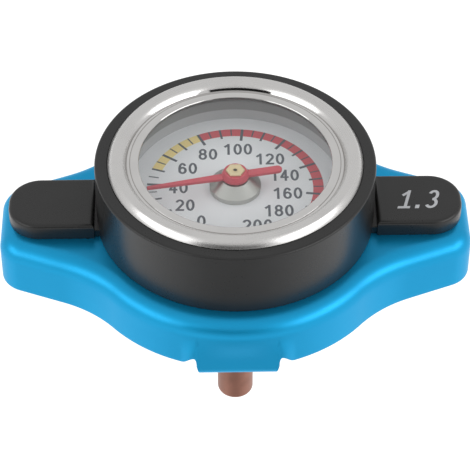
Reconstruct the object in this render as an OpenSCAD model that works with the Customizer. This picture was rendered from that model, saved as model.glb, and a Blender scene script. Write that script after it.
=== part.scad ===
// Radiator pressure cap with a dial thermometer clamped on top. A copper sensing stem hangs through the
// valve into the coolant, and a wound bimetal strip inside it turns the pointer.
// The origin is on the cap's axis, in the plane where the neck gasket seats on the filler neck's rim.
// +Z is up, the wings lie along X, and heights are worked out from that plane.

/* [Cap shell] */
// Radius of the round body
shell_r = 25.6; // [24.8:0.1:27]
// Height from the top face to the skirt's edge
shell_h = 9.2; // [8:0.1:11]
// Sheet thickness
shell_wall = 1.2; // [0.9:0.1:1.6]
// Outer radius of the rolled top edge
edge_r = 3; // [2.2:0.1:3.6]
// Reach of a wing from the axis
wing_reach = 37.4; // [36.6:0.1:41]
// Half width that a wing's edges would have at its tip
wing_half = 7; // [6.2:0.1:7.8]
// Angle between a wing's edges and its length, in degrees
wing_taper = 22; // [18:0.1:24]
// Radius of a wing's corners
wing_corner = 4.6; // [4:0.1:5.2]
// Radius of the hollow blend from the body to a wing
wing_blend = 21; // [15:0.5:25]

/* [Locking lugs] */
// Width of a lug at the skirt's edge
lug_w = 13.2; // [11:0.1:15]
// How much a lug narrows on each side
lug_taper = 0.4; // [0.1:0.1:0.8]
// Drop of a lug below the skirt's edge
lug_drop = 2.15; // [2.1:0.05:3.4]
// Length of a lug's folded tongue, from its outer face inwards
lug_reach = 6.4; // [5.4:0.1:7.4]
// Outer radius of the fold
lug_bend = 1.8; // [1.7:0.1:2.1]
// How far a lug's flat face lies inside the skirt's crown
lug_set = 0.4; // [0.1:0.1:0.6]
// Radius of the relief notch beside a lug
relief_r = 1.2; // [0.6:0.1:1.4]

/* [Gauge housing] */
// Outer radius of the ring
ring_r = 22; // [21.4:0.1:23]
// Wall of the ring
ring_wall = 2; // [1.6:0.1:2.4]
// Height of the ring above the shell
ring_h = 11.15; // [10:0.05:12]
// Chamfer on the ring's top edges
ring_edge = 0.4; // [0.2:0.1:0.6]
// Thickness of the housing's floor
floor_t = 1.5; // [1.2:0.1:1.8]
// Reach of an arm from the axis
arm_reach = 35.9; // [33:0.1:36.4]
// Width of an arm
arm_w = 11.2; // [10.4:0.1:11.8]
// Height of an arm above the shell
arm_h = 2.7; // [2:0.1:4]
// Radius of an arm's tip corners
arm_corner = 5; // [4:0.1:5.1]
// Radius of an arm's top edge
arm_edge = 0.6; // [0.3:0.1:1]
// Gap between the ring and the raised part of an arm
arm_gap = 0.3; // [0.1:0.1:0.8]
// Height of the low neck between the ring and an arm
neck_h = 1.4; // [1:0.1:1.8]
// Width of that neck
neck_w = 10.2; // [8:0.1:10.4]

/* [Bezel and glass] */
// Radial gap between the bezel and the ring's bore
bezel_gap = 0.2; // [0.1:0.05:0.4]
// Sheet thickness of the bezel
bezel_wall = 0.6; // [0.4:0.1:0.8]
// Radius of the bezel's outer roll
bezel_roll = 1.4; // [1.1:0.1:1.6]
// Thickness of the flange over the glass
flange_t = 0.4; // [0.3:0.1:0.6]
// Width of the bezel, from its outer edge to its lip
lip_w = 4.9; // [4.2:0.1:5.4]
// Radius of the bead along the lip
lip_bead = 0.7; // [0.5:0.05:0.8]
// Length of the bezel's skirt below the top of the glass
bezel_skirt = 3.7; // [3:0.1:4.6]
// Thickness of the glass
lens_t = 1.5; // [1.2:0.1:2]
// Thickness of the gasket under the glass
lens_gasket_t = 0.6; // [0.4:0.1:0.8]
// Clear height between the pointer's boss and the glass
lens_clear = 0.15; // [0.1:0.05:0.6]

/* [Dial and pointer] */
// Wall of the gauge case
case_wall = 0.6; // [0.4:0.1:0.8]
// Thickness of the case's floor
case_floor = 0.5; // [0.4:0.1:0.8]
// Radial play of the parts inside the case
case_fit = 0.1; // [0.05:0.05:0.2]
// Height of the dial's face above the shell
dial_up = 5.4; // [5:0.1:6]
// Thickness of the dial
dial_t = 0.5; // [0.3:0.1:0.6]
// Wall of the liner between the dial and the glass
liner_wall = 1.5; // [0.9:0.1:2.1]
// Width of the spacer under the dial's edge
spacer_w = 3; // [2:0.1:4]
// Height of the pointer's top face above the dial
pointer_up = 2.85; // [2.4:0.05:3.4]
// Thickness of the pointer
pointer_t = 0.5; // [0.4:0.1:0.7]
// Gap between the pointer's tip and the liner
tip_gap = 2.9; // [2.4:0.1:5]
// Width of the pointer at its hub
pointer_w = 1.4; // [1:0.1:2]
// Width of the pointer at its tip
tip_w = 0.5; // [0.3:0.1:0.9]
// Length of the tail from the axis
tail_len = 7.5; // [5:0.1:9]
// Radius of the pointer's hub
hub_r = 2.15; // [1.9:0.05:3]
// Thickness of the hub
hub_t = 1.15; // [1:0.05:1.4]
// Height of the hub above the pointer's top face
hub_up = 0.7; // [0.4:0.05:0.8]
// Radius of the brass boss
boss_r = 1.6; // [1.2:0.1:1.8]
// Height of the brass boss
boss_h = 0.3; // [0.2:0.05:0.6]
// Radius of the domed bush
bush_r = 4.05; // [3.6:0.05:4.6]
// Height of the domed bush
bush_h = 1.5; // [1.2:0.1:1.7]
// Height of the plain rim under the dome
bush_rim = 0.5; // [0.3:0.1:0.8]
// Radius of the bush's threaded foot
bush_foot_r = 2.4; // [2:0.1:2.8]
// Radius of the pointer's spindle
spindle_r = 0.5; // [0.4:0.05:0.6]
// Radial running clearance of the spindle
spindle_fit = 0.06; // [0.04:0.01:0.1]
// Temperature that the pointer shows, in degrees
reading_deg = 30; // [0:0.1:200]

/* [Stem and clamp] */
// Outer radius of the copper stem
tube_r = 3; // [2.8:0.1:3.2]
// Wall of the stem
tube_wall = 0.5; // [0.4:0.05:0.6]
// Length of the stem below the shell's top face
tube_len = 41.1; // [38:0.1:46]
// Radius of the stem's lower edge
tube_end_r = 0.8; // [0.4:0.1:1]
// Radius of the socket's threaded shank
shank_r = 5; // [4.6:0.1:5.4]
// Radial clearance of the holes that the shank goes through
shank_fit = 0.1; // [0.05:0.05:0.2]
// Radius of the socket's flange
flange_r = 8; // [7:0.1:9]
// Thickness of the socket's flange
socket_flange_t = 1.4; // [1:0.1:1.6]
// Radius of the washers under the bell
washer_r = 8; // [7.4:0.1:8.3]
// Thickness of the sealing washer
seal_washer_t = 0.8; // [0.6:0.1:1.2]
// Thickness of the lock washer
lock_washer_t = 0.7; // [0.4:0.1:1]
// Width of the nut across its flats
nut_flats = 13; // [12:0.1:14]
// Height of the nut
nut_h = 2.9; // [2.4:0.1:4]
// How far the shank stands out of the nut
shank_out = 1; // [0.5:0.1:1.5]
// Length of the wound bimetal strip
coil_len = 19; // [16:0.5:20]
// Width of the bimetal strip
strip_w = 1.3; // [1:0.1:1.5]
// Thickness of the bimetal strip
strip_t = 0.4; // [0.3:0.05:0.5]
// Turns of the bimetal strip
coil_turns = 9; // [6:1:10]
// Radial room between the strip and the stem's bore
coil_room = 0.35; // [0.25:0.05:0.5]
// Height of the plug that holds the strip's lower end
anchor_h = 2.4; // [1.6:0.1:3]

/* [Neck seal] */
// Outer radius of the neck gasket
gasket_r = 20.4; // [19:0.1:21]
// Inner radius of the neck gasket
gasket_in = 15.4; // [14.6:0.1:16]
// Thickness of the neck gasket
gasket_t = 1.2; // [0.8:0.1:1.6]
// Thickness of the diaphragm spring
diaphragm_t = 0.4; // [0.3:0.1:0.6]
// Height of the diaphragm's crown above its rim
crown_h = 1; // [0.6:0.1:1.4]
// Radius of the diaphragm's flat crown
crown_r = 13.4; // [13.1:0.1:14]

/* [Pressure valve] */
// Outer radius of the bell
bell_r = 12.8; // [12.5:0.1:13]
// Sheet thickness of the bell
bell_wall = 0.8; // [0.6:0.1:1]
// Width of the bell's inward lip
bell_lip = 1.6; // [1.4:0.1:1.8]
// Width of a window in the bell
window_w = 7; // [5:0.1:7.4]
// Height left above and below a window
window_sill = 1.6; // [1.2:0.1:2.4]
// Travel of the pressure valve
lift = 3; // [2:0.1:3.4]
// Room left at the end of that travel
lift_room = 0.6; // [0.4:0.1:1]
// Radial clearance of the plate in the bell
plate_fit = 0.2; // [0.15:0.05:0.3]
// Radial clearance of the plate's skirt in the lip
skirt_fit = 0.3; // [0.2:0.05:0.4]
// Sheet thickness of the pressure plate
plate_t = 0.8; // [0.6:0.1:1]
// Wire of the pressure spring
spring_wire = 1.8; // [1.4:0.1:1.9]
// Mean radius of the pressure spring
spring_r = 9.6; // [9.4:0.1:9.9]
// Turns of the pressure spring
spring_turns = 3.5; // [2.5:0.5:3.5]
// Clear height at each end of a spring
spring_seat = 0.05; // [0.03:0.01:0.1]
// Radius of the disc that backs the seal
cup_r = 13; // [12.6:0.1:13.4]
// Thickness of that disc
cup_t = 0.8; // [0.6:0.1:1]
// Outer radius of the rubber seal
seal_r = 13.6; // [13.5:0.1:14.2]
// Thickness of the rubber seal
seal_t = 2.2; // [2:0.1:2.8]

/* [Sleeve and vacuum valve] */
// Radial running clearance of the sleeve on the stem
sleeve_fit = 0.08; // [0.05:0.01:0.1]
// Wall of the sleeve
sleeve_wall = 0.9; // [0.7:0.1:1]
// Height of the gland cup on top of the sleeve
gland_h = 2; // [1.8:0.1:2.4]
// Wall of the gland cup
gland_wall = 0.8; // [0.6:0.1:1]
// Wire radius of the ring seal
ring_seal_r = 0.72; // [0.6:0.02:0.8]
// Radius on which the vent ports lie
port_at = 6.4; // [6.2:0.05:6.5]
// Radius of a vent port
port_r = 0.8; // [0.4:0.05:0.9]
// Number of vent ports
port_count = 6; // [3:1:8]
// Radius of the vacuum disc
vacuum_r = 9.4; // [9.3:0.1:10]
// Thickness of the vacuum disc
vacuum_t = 0.8; // [0.6:0.1:0.9]
// Width of the seat under the vacuum disc
vacuum_seat = 2; // [1.4:0.1:2.1]
// Depth of the recess that the vacuum disc lies in
vacuum_recess = 1; // [0.8:0.1:1.2]
// Radial clearance of the vacuum disc in that recess
recess_fit = 0.4; // [0.3:0.05:0.6]
// Radial clearance of the vacuum disc on the sleeve
vacuum_fit = 0.1; // [0.05:0.01:0.15]
// Height of the collar on the vacuum disc
collar_h = 1.2; // [0.8:0.1:1.6]
// Wall of that collar
collar_wall = 0.6; // [0.4:0.1:0.7]
// Length of the vacuum spring
vacuum_spring_len = 4.6; // [4.2:0.1:6]
// Wire of the vacuum spring
vacuum_wire = 0.5; // [0.4:0.05:0.6]
// Mean radius of the vacuum spring
vacuum_spring_r = 5.7; // [5.5:0.05:5.8]
// Turns of the vacuum spring
vacuum_turns = 3.5; // [2.5:0.5:4]
// Width of the washer under the vacuum spring
retainer_w = 2.4; // [2.2:0.1:3]
// Thickness of that washer
retainer_t = 0.6; // [0.4:0.1:0.8]

/* [Hidden] */
$fn = 72;

// Heights of the cap, from the neck's rim upwards
rim_top = gasket_t + diaphragm_t;
under_shell = rim_top + crown_h;
shell_top = under_shell + shell_wall;
skirt_z = shell_top - shell_h;
lug_z = skirt_z - lug_drop;

// Heights of the gauge
ring_top = shell_top + ring_h;
case_z = shell_top + floor_t;
case_in_z = case_z + case_floor;
dial_top = shell_top + dial_up;
dial_z = dial_top - dial_t;
pointer_top = dial_top + pointer_up;
hub_top = pointer_top + hub_up;
boss_top = hub_top + boss_h;
lens_z = boss_top + lens_clear;
lens_top = lens_z + lens_t;

// Radii of the gauge
bore_r = ring_r - ring_wall;
bezel_r = bore_r - bezel_gap;
case_r = bezel_r - bezel_wall;
case_in_r = case_r - case_wall;
inner_r = case_in_r - case_fit;
liner_r = inner_r - liner_wall;
lip_r = bezel_r - lip_w;
pointer_len = liner_r - tip_gap;

// Heights of the clamp and the valve, from the shell downwards
bell_in_z = under_shell - diaphragm_t - bell_wall;
lock_z = bell_in_z - seal_washer_t;
nut_top = lock_z - lock_washer_t;
nut_z = nut_top - nut_h;
shank_z = nut_z - shank_out;
gland_top = shank_z - lift_room - lift;
plate_top = gland_top - gland_h;
plate_z = plate_top - plate_t;
bell_z = plate_z - bell_wall;
cup_top = bell_z - lift - lift_room;
cup_z = cup_top - cup_t;
seal_z = cup_z - seal_t;
vacuum_top = seal_z + vacuum_recess;
vacuum_z = vacuum_top - vacuum_t;
retainer_top = vacuum_z - vacuum_spring_len;
retainer_z = retainer_top - retainer_t;
sleeve_z = retainer_z - retainer_t;

// Radii of the clamp and the valve
shank_hole_r = shank_r + shank_fit;
bell_in_r = bell_r - bell_wall;
lip_in_r = bell_r - bell_lip - bell_wall;
plate_r = bell_in_r - plate_fit;
plate_skirt_r = lip_in_r - skirt_fit;
sleeve_in_r = tube_r + sleeve_fit;
sleeve_r = sleeve_in_r + sleeve_wall;
gland_in_r = sleeve_in_r + 2 * ring_seal_r;
gland_r = gland_in_r + gland_wall;

// Heights and radii of the stem
tube_top = case_in_z - socket_flange_t / 2;
tube_z = shell_top - tube_len;
tube_in_r = tube_r - tube_wall;
tube_floor = tube_z + tube_end_r;
anchor_top = tube_floor + anchor_h;
coil_top = anchor_top + coil_len;
coil_r = tube_in_r - coil_room - strip_t / 2;
guide_h = 3 * spindle_r;
guide_top = shank_z;
foot_z = dial_z - socket_flange_t;

// Plan of a wing: the direction of its edge, its normal, and the centres of its blend and corner
edge_normal = [sin(wing_taper), cos(wing_taper)];
edge_along = [cos(wing_taper), -sin(wing_taper)];
edge_offset = wing_reach * edge_normal.x + wing_half * edge_normal.y;
blend_along = sqrt(pow(shell_r + wing_blend, 2) - pow(edge_offset + wing_blend, 2));
blend_at = (edge_offset + wing_blend) * edge_normal + blend_along * edge_along;
blend_turn = atan2(blend_at.y, blend_at.x);
corner_x = wing_reach - wing_corner;
corner_at = [corner_x, (edge_offset - wing_corner - corner_x * edge_normal.x) / edge_normal.y];

// Steps along each kind of arc in the shell's outline, and round its rolled edge
corner_steps = 6;
blend_steps = 5;
body_steps = 9;
roll_steps = 5;

// Plan of an arm
arm_in = ring_r + arm_gap;
arm_top = shell_top + arm_h;
arm_corner_at = [arm_reach - arm_corner, arm_w / 2 - arm_corner];
arm_core = arm_corner / 4;

// Scale of the dial: its span, where its zero lies, and the angle of the pointer
scale_max = 200;
span_angle = 305.2;
zero_angle = 236.9;
pointer_turn = zero_angle - reading_deg * span_angle / scale_max;

black = "#35373a";
blue = "#228bbb";
bright = "#c4c6c8";
steel = "#9a9da0";
brass = "#b8954a";
copper = "#a4694c";
rubber = "#242424";
white = "#e6e7ea";
red = "#c0303c";

function unit(v) = v / norm(v);

module at_wings() {
  for (side = [0, 1]) mirror([side, 0, 0]) children();
}

module at_ends() {
  for (side = [0, 1]) mirror([0, side, 0]) children();
}

module turned(points) {
  rotate_extrude() polygon(points);
}

module washer(outer, inner, z, thick) {
  translate([0, 0, z]) difference() {
    cylinder(r = outer, h = thick);
    translate([0, 0, -thick]) cylinder(r = inner, h = 3 * thick);
  }
}

// A quarter of a ring between two radii, with its centre at the origin
module quarter_ring(outer, inner) {
  intersection() {
    difference() {
      circle(outer);
      circle(inner);
    }
    square(2 * outer);
  }
}

// Section of a lug, its outer face at x = 0: wall, fold and tongue
module lug_section() {
  fold_z = lug_z + lug_bend;
  translate([-shell_wall, fold_z]) square([shell_wall, skirt_z - fold_z]);
  translate([-lug_bend, fold_z]) mirror([0, 1]) quarter_ring(lug_bend, lug_bend - shell_wall);
  translate([-lug_reach, lug_z]) square([lug_reach - lug_bend, shell_wall]);
}

module lug() {
  intersection() {
    translate([lug_w / 2, lug_set - shell_r, 0]) rotate([90, 0, -90]) linear_extrude(lug_w) lug_section();
    rotate([90, 0, 0]) linear_extrude(shell_r) polygon([
      [-lug_w / 2, skirt_z], [lug_w / 2, skirt_z],
      [lug_w / 2 - lug_taper, lug_z], [lug_taper - lug_w / 2, lug_z]
    ]);
  }
}

// Points of an arc as [point, outward normal]; a hollow arc, with side -1, has its centre outside the shell
function arc(centre, radius, from, to, steps, side) = [
  for (i = [0:steps]) let (
    a = from + (to - from) * i / steps,
    out = [cos(a), sin(a)]
  ) [centre + radius * out, side * out]
];

// Outline of the shell from above: a quarter from a wing's tip to the body's crown, mirrored and turned
function cap_outline() = let (
  blend = arc(blend_at, wing_blend, 270 - wing_taper, 180 + blend_turn, blend_steps, -1),
  body = arc([0, 0], shell_r, blend_turn, 90, body_steps, 1),
  quarter = concat(
    arc(corner_at, wing_corner, 0, 90 - wing_taper, corner_steps, 1),
    blend,
    [for (i = [1:body_steps]) body[i]]
  ),
  crown = len(quarter) - 1,
  half = concat(
    quarter,
    [for (i = [crown - 1:-1:0]) [for (v = quarter[i]) [-v.x, v.y]]]
  )
) concat(half, -half);

// Section of the shell as [inset, height]: top, rolled edge, skirt and underside
function wall_section() = concat(
  [for (i = [0:roll_steps]) let (a = 90 - 90 * i / roll_steps)
    [edge_r - edge_r * cos(a), shell_top - edge_r + edge_r * sin(a)]],
  [[0, skirt_z], [shell_wall, skirt_z]],
  [for (i = [0:roll_steps]) let (a = 90 * i / roll_steps, inner = edge_r - shell_wall)
    [edge_r - inner * cos(a), shell_top - edge_r + inner * sin(a)]]
);

// The pressing: its section carried along the outline and closed round the hole in the middle
module pressing() {
  section = wall_section();
  rows = len(section) + 2;
  outline = cap_outline();
  count = len(outline);
  points = [
    for (o = outline) let (rim = shank_hole_r * unit(o[0])) each concat(
      [[rim.x, rim.y, shell_top]],
      [for (s = section) let (at = o[0] - s.x * o[1]) [at.x, at.y, s.y]],
      [[rim.x, rim.y, under_shell]]
    )
  ];
  faces = [
    for (i = [0:count - 1]) for (j = [0:rows - 1]) let (
      a = i * rows + j,
      b = i * rows + (j + 1) % rows,
      c = (i + 1) % count * rows + j,
      d = (i + 1) % count * rows + (j + 1) % rows
    ) each [[a, c, b], [c, d, b]]
  ];
  polyhedron(points = points, faces = faces, convexity = 6);
}

module cap_shell() {
  color(blue) difference() {
    union() {
      pressing();
      at_ends() lug();
    }
    at_wings() translate([lug_w / 2 + relief_r, 0, skirt_z]) rotate([90, 0, 0])
      cylinder(r = relief_r, h = 2 * shell_r, center = true);
  }
}

// Section of an arm, its outer face at x = 0, with a rounded top edge
module arm_section(depth) {
  translate([-depth, shell_top]) square([depth, arm_h - arm_edge]);
  translate([-depth, arm_top - arm_edge]) square([depth - arm_edge, arm_edge]);
  translate([-arm_edge, arm_top - arm_edge]) intersection() {
    circle(arm_edge);
    square(2 * arm_edge);
  }
}

module arm() {
  at_ends() {
    translate([arm_in, arm_w / 2, 0]) rotate([90, 0, 90])
      linear_extrude(arm_corner_at.x - arm_in) arm_section(arm_w / 2);
    translate(arm_corner_at) rotate_extrude(start = 0, angle = 90)
      translate([arm_corner, 0]) arm_section(arm_corner - arm_core / 2);
    translate(concat(arm_corner_at, [shell_top])) cylinder(r = arm_core, h = arm_h);
  }
  translate([arm_reach, arm_corner_at.y, 0]) rotate([90, 0, 0])
    linear_extrude(2 * arm_corner_at.y) arm_section(arm_corner);
  translate([bore_r, -neck_w / 2, shell_top]) cube([arm_in - bore_r + arm_edge, neck_w, neck_h]);
}

module gauge_housing() {
  color(black) union() {
    turned([
      [shank_hole_r, shell_top], [ring_r, shell_top], [ring_r, ring_top - ring_edge],
      [ring_r - ring_edge, ring_top], [bore_r + ring_edge, ring_top], [bore_r, ring_top - ring_edge],
      [bore_r, case_z], [shank_hole_r, case_z]
    ]);
    at_wings() arm();
  }
}

module gauge_case() {
  color(steel) turned([
    [shank_hole_r, case_z], [case_r, case_z], [case_r, lens_top], [case_in_r, lens_top],
    [case_in_r, case_in_z], [shank_hole_r, case_in_z]
  ]);
}

// The bezel: a skirt round the case, an outer roll, a flange over the glass and a bead along its lip
module bezel_ring() {
  roll_at = [bezel_r - bezel_roll, lens_top + flange_t - bezel_roll / 4];
  bead_at = [lip_r + lip_bead, lens_top + flange_t - lip_bead / 2];
  color(bright) rotate_extrude() union() {
    translate([case_r, lens_top - bezel_skirt]) square([bezel_wall, bezel_skirt]);
    translate([bead_at.x, lens_top]) square([bezel_r - bead_at.x, flange_t - bezel_roll / 4]);
    translate([bead_at.x, lens_top]) square([roll_at.x - bead_at.x, flange_t]);
    intersection() {
      union() {
        translate(roll_at) circle(bezel_roll);
        translate(bead_at) circle(lip_bead);
      }
      translate([0, lens_top]) square(bezel_r + bezel_roll);
    }
  }
}

module lens_glass() {
  color("#dfe9ee", 0.35) translate([0, 0, lens_z]) cylinder(r = inner_r, h = lens_t);
}

module lens_gasket() {
  color("#e2e2dc") washer(inner_r, liner_r, lens_z - lens_gasket_t, lens_gasket_t);
}

module liner_ring() {
  color(steel) washer(inner_r, liner_r, dial_top, lens_z - lens_gasket_t - dial_top);
}

module dial_plate() {
  color(white) washer(inner_r, bush_foot_r, dial_z, dial_t);
}

module dial_spacer() {
  color(steel) washer(inner_r, inner_r - spacer_w, case_in_z, dial_z - case_in_z);
}

// Domed head over a foot that screws into the socket and holds the dial's middle
module dial_bush() {
  rise = bush_h - bush_rim;
  dome_r = (pow(bush_r, 2) + pow(rise, 2)) / (2 * rise);
  color(bright) difference() {
    union() {
      intersection() {
        translate([0, 0, dial_top + bush_h - dome_r]) sphere(dome_r);
        translate([0, 0, dial_top]) cylinder(r = bush_r, h = 2 * bush_h);
      }
      translate([0, 0, foot_z]) cylinder(r = bush_foot_r, h = dial_top - foot_z);
    }
    translate([0, 0, foot_z - bush_h]) cylinder(r = spindle_r + spindle_fit, h = lens_top - foot_z);
  }
}

module pointer() {
  color(red) difference() {
    union() {
      translate([0, 0, pointer_top - pointer_t]) linear_extrude(pointer_t) rotate(pointer_turn) {
        polygon([
          [0, -pointer_w / 2], [pointer_len, -tip_w / 2], [pointer_len, tip_w / 2], [0, pointer_w / 2]
        ]);
        translate([-tail_len + pointer_w / 2, -pointer_w / 2]) square([tail_len - pointer_w / 2, pointer_w]);
        translate([-tail_len + pointer_w / 2, 0]) circle(pointer_w / 2);
      }
      translate([0, 0, hub_top - hub_t]) cylinder(r = hub_r, h = hub_t);
    }
    translate([0, 0, hub_top - 2 * hub_t]) cylinder(r = spindle_r, h = 3 * hub_t);
  }
}

module pointer_boss() {
  chamfer = boss_h / 4;
  color(brass) turned([
    [spindle_r, hub_top], [boss_r, hub_top], [boss_r, boss_top - chamfer], [boss_r - chamfer, boss_top],
    [spindle_r, boss_top]
  ]);
}

// Shaft with a collar at its foot that takes the strip's upper end
module spindle() {
  collar_z = coil_top + spring_seat;
  color(steel) union() {
    translate([0, 0, collar_z]) cylinder(r = spindle_r, h = hub_top + boss_h / 2 - collar_z);
    translate([0, 0, collar_z]) cylinder(r = coil_r, h = guide_h);
  }
}

// Turned socket: flange in the case, threaded shank through the cap, bores for the stem, spindle and bush
module stem_socket() {
  boss = bush_r - bush_foot_r / 4;
  passage = 2 * spindle_r;
  color(brass) turned([
    [tube_r, shank_z], [shank_r, shank_z], [shank_r, case_in_z], [flange_r, case_in_z],
    [flange_r, case_in_z + socket_flange_t], [boss, case_in_z + socket_flange_t], [boss, dial_z],
    [bush_foot_r, dial_z], [bush_foot_r, foot_z], [passage, foot_z], [passage, tube_top], [tube_r, tube_top]
  ]);
}

module stem_tube() {
  color(copper) rotate_extrude() union() {
    translate([tube_in_r, tube_floor]) square([tube_wall, tube_top - tube_floor]);
    translate([0, tube_z]) square([tube_r - tube_end_r, tube_end_r]);
    translate([tube_r - tube_end_r, tube_floor]) mirror([0, 1]) intersection() {
      circle(tube_end_r);
      square(2 * tube_end_r);
    }
  }
}

module spindle_guide() {
  color(brass) washer(tube_in_r, spindle_r + spindle_fit, guide_top - guide_h, guide_h);
}

module coil_anchor() {
  color(brass) translate([0, 0, tube_floor]) cylinder(r = tube_in_r, h = anchor_h);
}

// Points along a wound wire: one helix whose ends run straight on for a given length
function wound_path(radius, z0, z1, turns, lead, steps = 8) = let (
  count = round(turns * steps),
  ring = [for (i = [0:count]) let (a = 360 * i / steps) [
    radius * cos(a), radius * sin(a), z0 + (z1 - z0) * i / count
  ]],
  last = 360 * count / steps
) concat(
  [ring[0] - lead * [0, 1, 0]],
  ring,
  [ring[count] + lead * [-sin(last), cos(last), 0]]
);

// The least gap between points of a path that are more than half a turn apart, less the wire's own width
function wound_gap(path, wide, steps = 8) = min([
  for (i = [0:len(path) - 1]) for (j = [i + 1:1:len(path) - 1])
    if (j - i > steps / 2) norm(path[j] - path[i])
]) - wide;

// Sweeps a closed section, given as [sideways, upwards] points, along a path and closes its ends
module swept(path, section) {
  n = len(section);
  last = len(path) - 1;
  along = [for (i = [0:last]) unit(path[min(i + 1, last)] - path[max(i - 1, 0)])];
  points = [
    for (i = [0:last]) let (
      side = unit(cross(along[i], [0, 0, 1])),
      up = cross(side, along[i])
    ) for (s = section) path[i] + s.x * side + s.y * up
  ];
  walls = [
    for (i = [0:last - 1]) for (j = [0:n - 1]) let (
      a = i * n + j,
      b = i * n + (j + 1) % n
    ) each [[a, b, a + n], [b, b + n, a + n]]
  ];
  caps = [
    for (j = [1:n - 2]) each [[0, j + 1, j], [last * n, last * n + j, last * n + j + 1]]
  ];
  polyhedron(points = points, faces = concat(walls, caps), convexity = 8);
}

function round_wire(wide, sides = 6) = [
  for (j = [0:sides - 1]) let (a = 360 * j / sides) wide / 2 * [cos(a), sin(a)]
];

spring_path = wound_path(
  spring_r, plate_top + spring_seat + spring_wire / 2, bell_in_z - spring_seat - spring_wire / 2,
  spring_turns, spring_wire
);
vacuum_path = wound_path(
  vacuum_spring_r, retainer_top + spring_seat + vacuum_wire / 2, vacuum_z - spring_seat - vacuum_wire / 2,
  vacuum_turns, vacuum_wire
);
coil_path = wound_path(
  coil_r, anchor_top + strip_w / 2, coil_top - strip_w / 2, coil_turns, strip_t
);

module pressure_spring() {
  echo(pressure_spring_least_gap = wound_gap(spring_path, spring_wire));
  color(steel) swept(spring_path, round_wire(spring_wire));
}

module vacuum_spring() {
  echo(vacuum_spring_least_gap = wound_gap(vacuum_path, vacuum_wire));
  color(steel) swept(vacuum_path, round_wire(vacuum_wire));
}

module bimetal_coil() {
  half = [strip_t / 2, strip_w / 2];
  echo(bimetal_coil_least_gap = wound_gap(coil_path, strip_w));
  color(brass) swept(coil_path, [[half.x, -half.y], [half.x, half.y], [-half.x, half.y], [-half.x, -half.y]]);
}

module clamp_nut() {
  color(brass) difference() {
    translate([0, 0, nut_z]) cylinder(r = nut_flats / sqrt(3), h = nut_h, $fn = 6);
    translate([0, 0, nut_z - nut_h]) cylinder(r = shank_r, h = 3 * nut_h);
  }
}

module lock_washer() {
  color(steel) washer(washer_r, shank_hole_r, nut_top, lock_washer_t);
}

module sealing_washer() {
  color(rubber) washer(washer_r, shank_hole_r, lock_z, seal_washer_t);
}

// Sprung disc: flat crown under the shell, a cone, and a flat rim on the neck gasket
module diaphragm_spring() {
  crown_z = under_shell - diaphragm_t;
  color(bright) turned([
    [shank_hole_r, crown_z], [crown_r, crown_z], [gasket_in, gasket_t], [gasket_r, gasket_t],
    [gasket_r, rim_top], [gasket_in, rim_top], [crown_r, under_shell], [shank_hole_r, under_shell]
  ]);
}

module neck_gasket() {
  color(rubber) washer(gasket_r, gasket_in, 0, gasket_t);
}

// Stamped cage: top plate, wall with windows, and an inward lip that stops the pressure plate
module valve_bell() {
  bell_top = bell_in_z + bell_wall;
  color(bright) difference() {
    turned([
      [shank_hole_r, bell_top], [shank_hole_r, bell_in_z], [bell_in_r, bell_in_z], [bell_in_r, plate_z],
      [lip_in_r, plate_z], [lip_in_r, bell_z], [bell_r, bell_z], [bell_r, bell_top]
    ]);
    for (turn = [45:90:315]) rotate(turn)
      translate([bell_in_r - bell_wall, -window_w / 2, plate_top + window_sill])
        cube([3 * bell_wall, window_w, bell_in_z - plate_top - 2 * window_sill]);
  }
}

module ports(z, thick) {
  for (i = [0:port_count - 1]) rotate(i * 360 / port_count)
    translate([port_at, 0, z - thick]) cylinder(r = port_r, h = 3 * thick);
}

// Stamped top hat: a disc under the spring and a skirt that stands on the seal's backing disc
module pressure_plate() {
  color(bright) difference() {
    turned([
      [sleeve_r, plate_z], [plate_skirt_r - plate_t, plate_z], [plate_skirt_r - plate_t, cup_top],
      [plate_skirt_r, cup_top], [plate_skirt_r, plate_z], [plate_r, plate_z], [plate_r, plate_top],
      [sleeve_r, plate_top]
    ]);
    ports(plate_z, plate_t);
  }
}

module seal_cup() {
  color(steel) difference() {
    washer(cup_r, sleeve_r, cup_z, cup_t);
    ports(cup_z, cup_t);
  }
}

// Rubber ring: a thick outer part on the neck's seat and a thin inner part for the vacuum disc
module pressure_seal() {
  step_r = vacuum_r + recess_fit;
  color(rubber) turned([
    [vacuum_r - vacuum_seat, vacuum_top], [step_r, vacuum_top], [step_r, seal_z], [seal_r, seal_z],
    [seal_r, cup_z], [vacuum_r - vacuum_seat, cup_z]
  ]);
}

// Sliding sleeve: gland cup on top, tube through the valve, and a rolled foot under the retainer
module valve_sleeve() {
  foot_r = sleeve_r + sleeve_wall;
  color(brass) turned([
    [sleeve_in_r, sleeve_z], [foot_r, sleeve_z], [foot_r, retainer_z], [sleeve_r, retainer_z],
    [sleeve_r, plate_top], [gland_r, plate_top], [gland_r, gland_top], [gland_in_r, gland_top],
    [gland_in_r, plate_top + gland_wall / 2], [sleeve_in_r, plate_top + gland_wall / 2]
  ]);
}

module stem_seal() {
  color(rubber) translate([0, 0, plate_top + gland_wall / 2 + ring_seal_r]) rotate_extrude()
    translate([sleeve_in_r + ring_seal_r, 0]) circle(ring_seal_r, $fn = 24);
}

module gland_washer() {
  seat = plate_top + gland_wall / 2 + 2 * ring_seal_r;
  color(steel) washer(gland_in_r, sleeve_in_r, seat, gland_top - seat);
}

module vacuum_disc() {
  hole_r = sleeve_r + vacuum_fit;
  collar_r = hole_r + collar_wall;
  color(brass) turned([
    [hole_r, vacuum_z - collar_h], [collar_r, vacuum_z - collar_h], [collar_r, vacuum_z],
    [vacuum_r, vacuum_z], [vacuum_r, vacuum_top], [hole_r, vacuum_top]
  ]);
}

module spring_retainer() {
  color(bright) washer(sleeve_r + retainer_w, sleeve_r, retainer_z, retainer_t);
}

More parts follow.
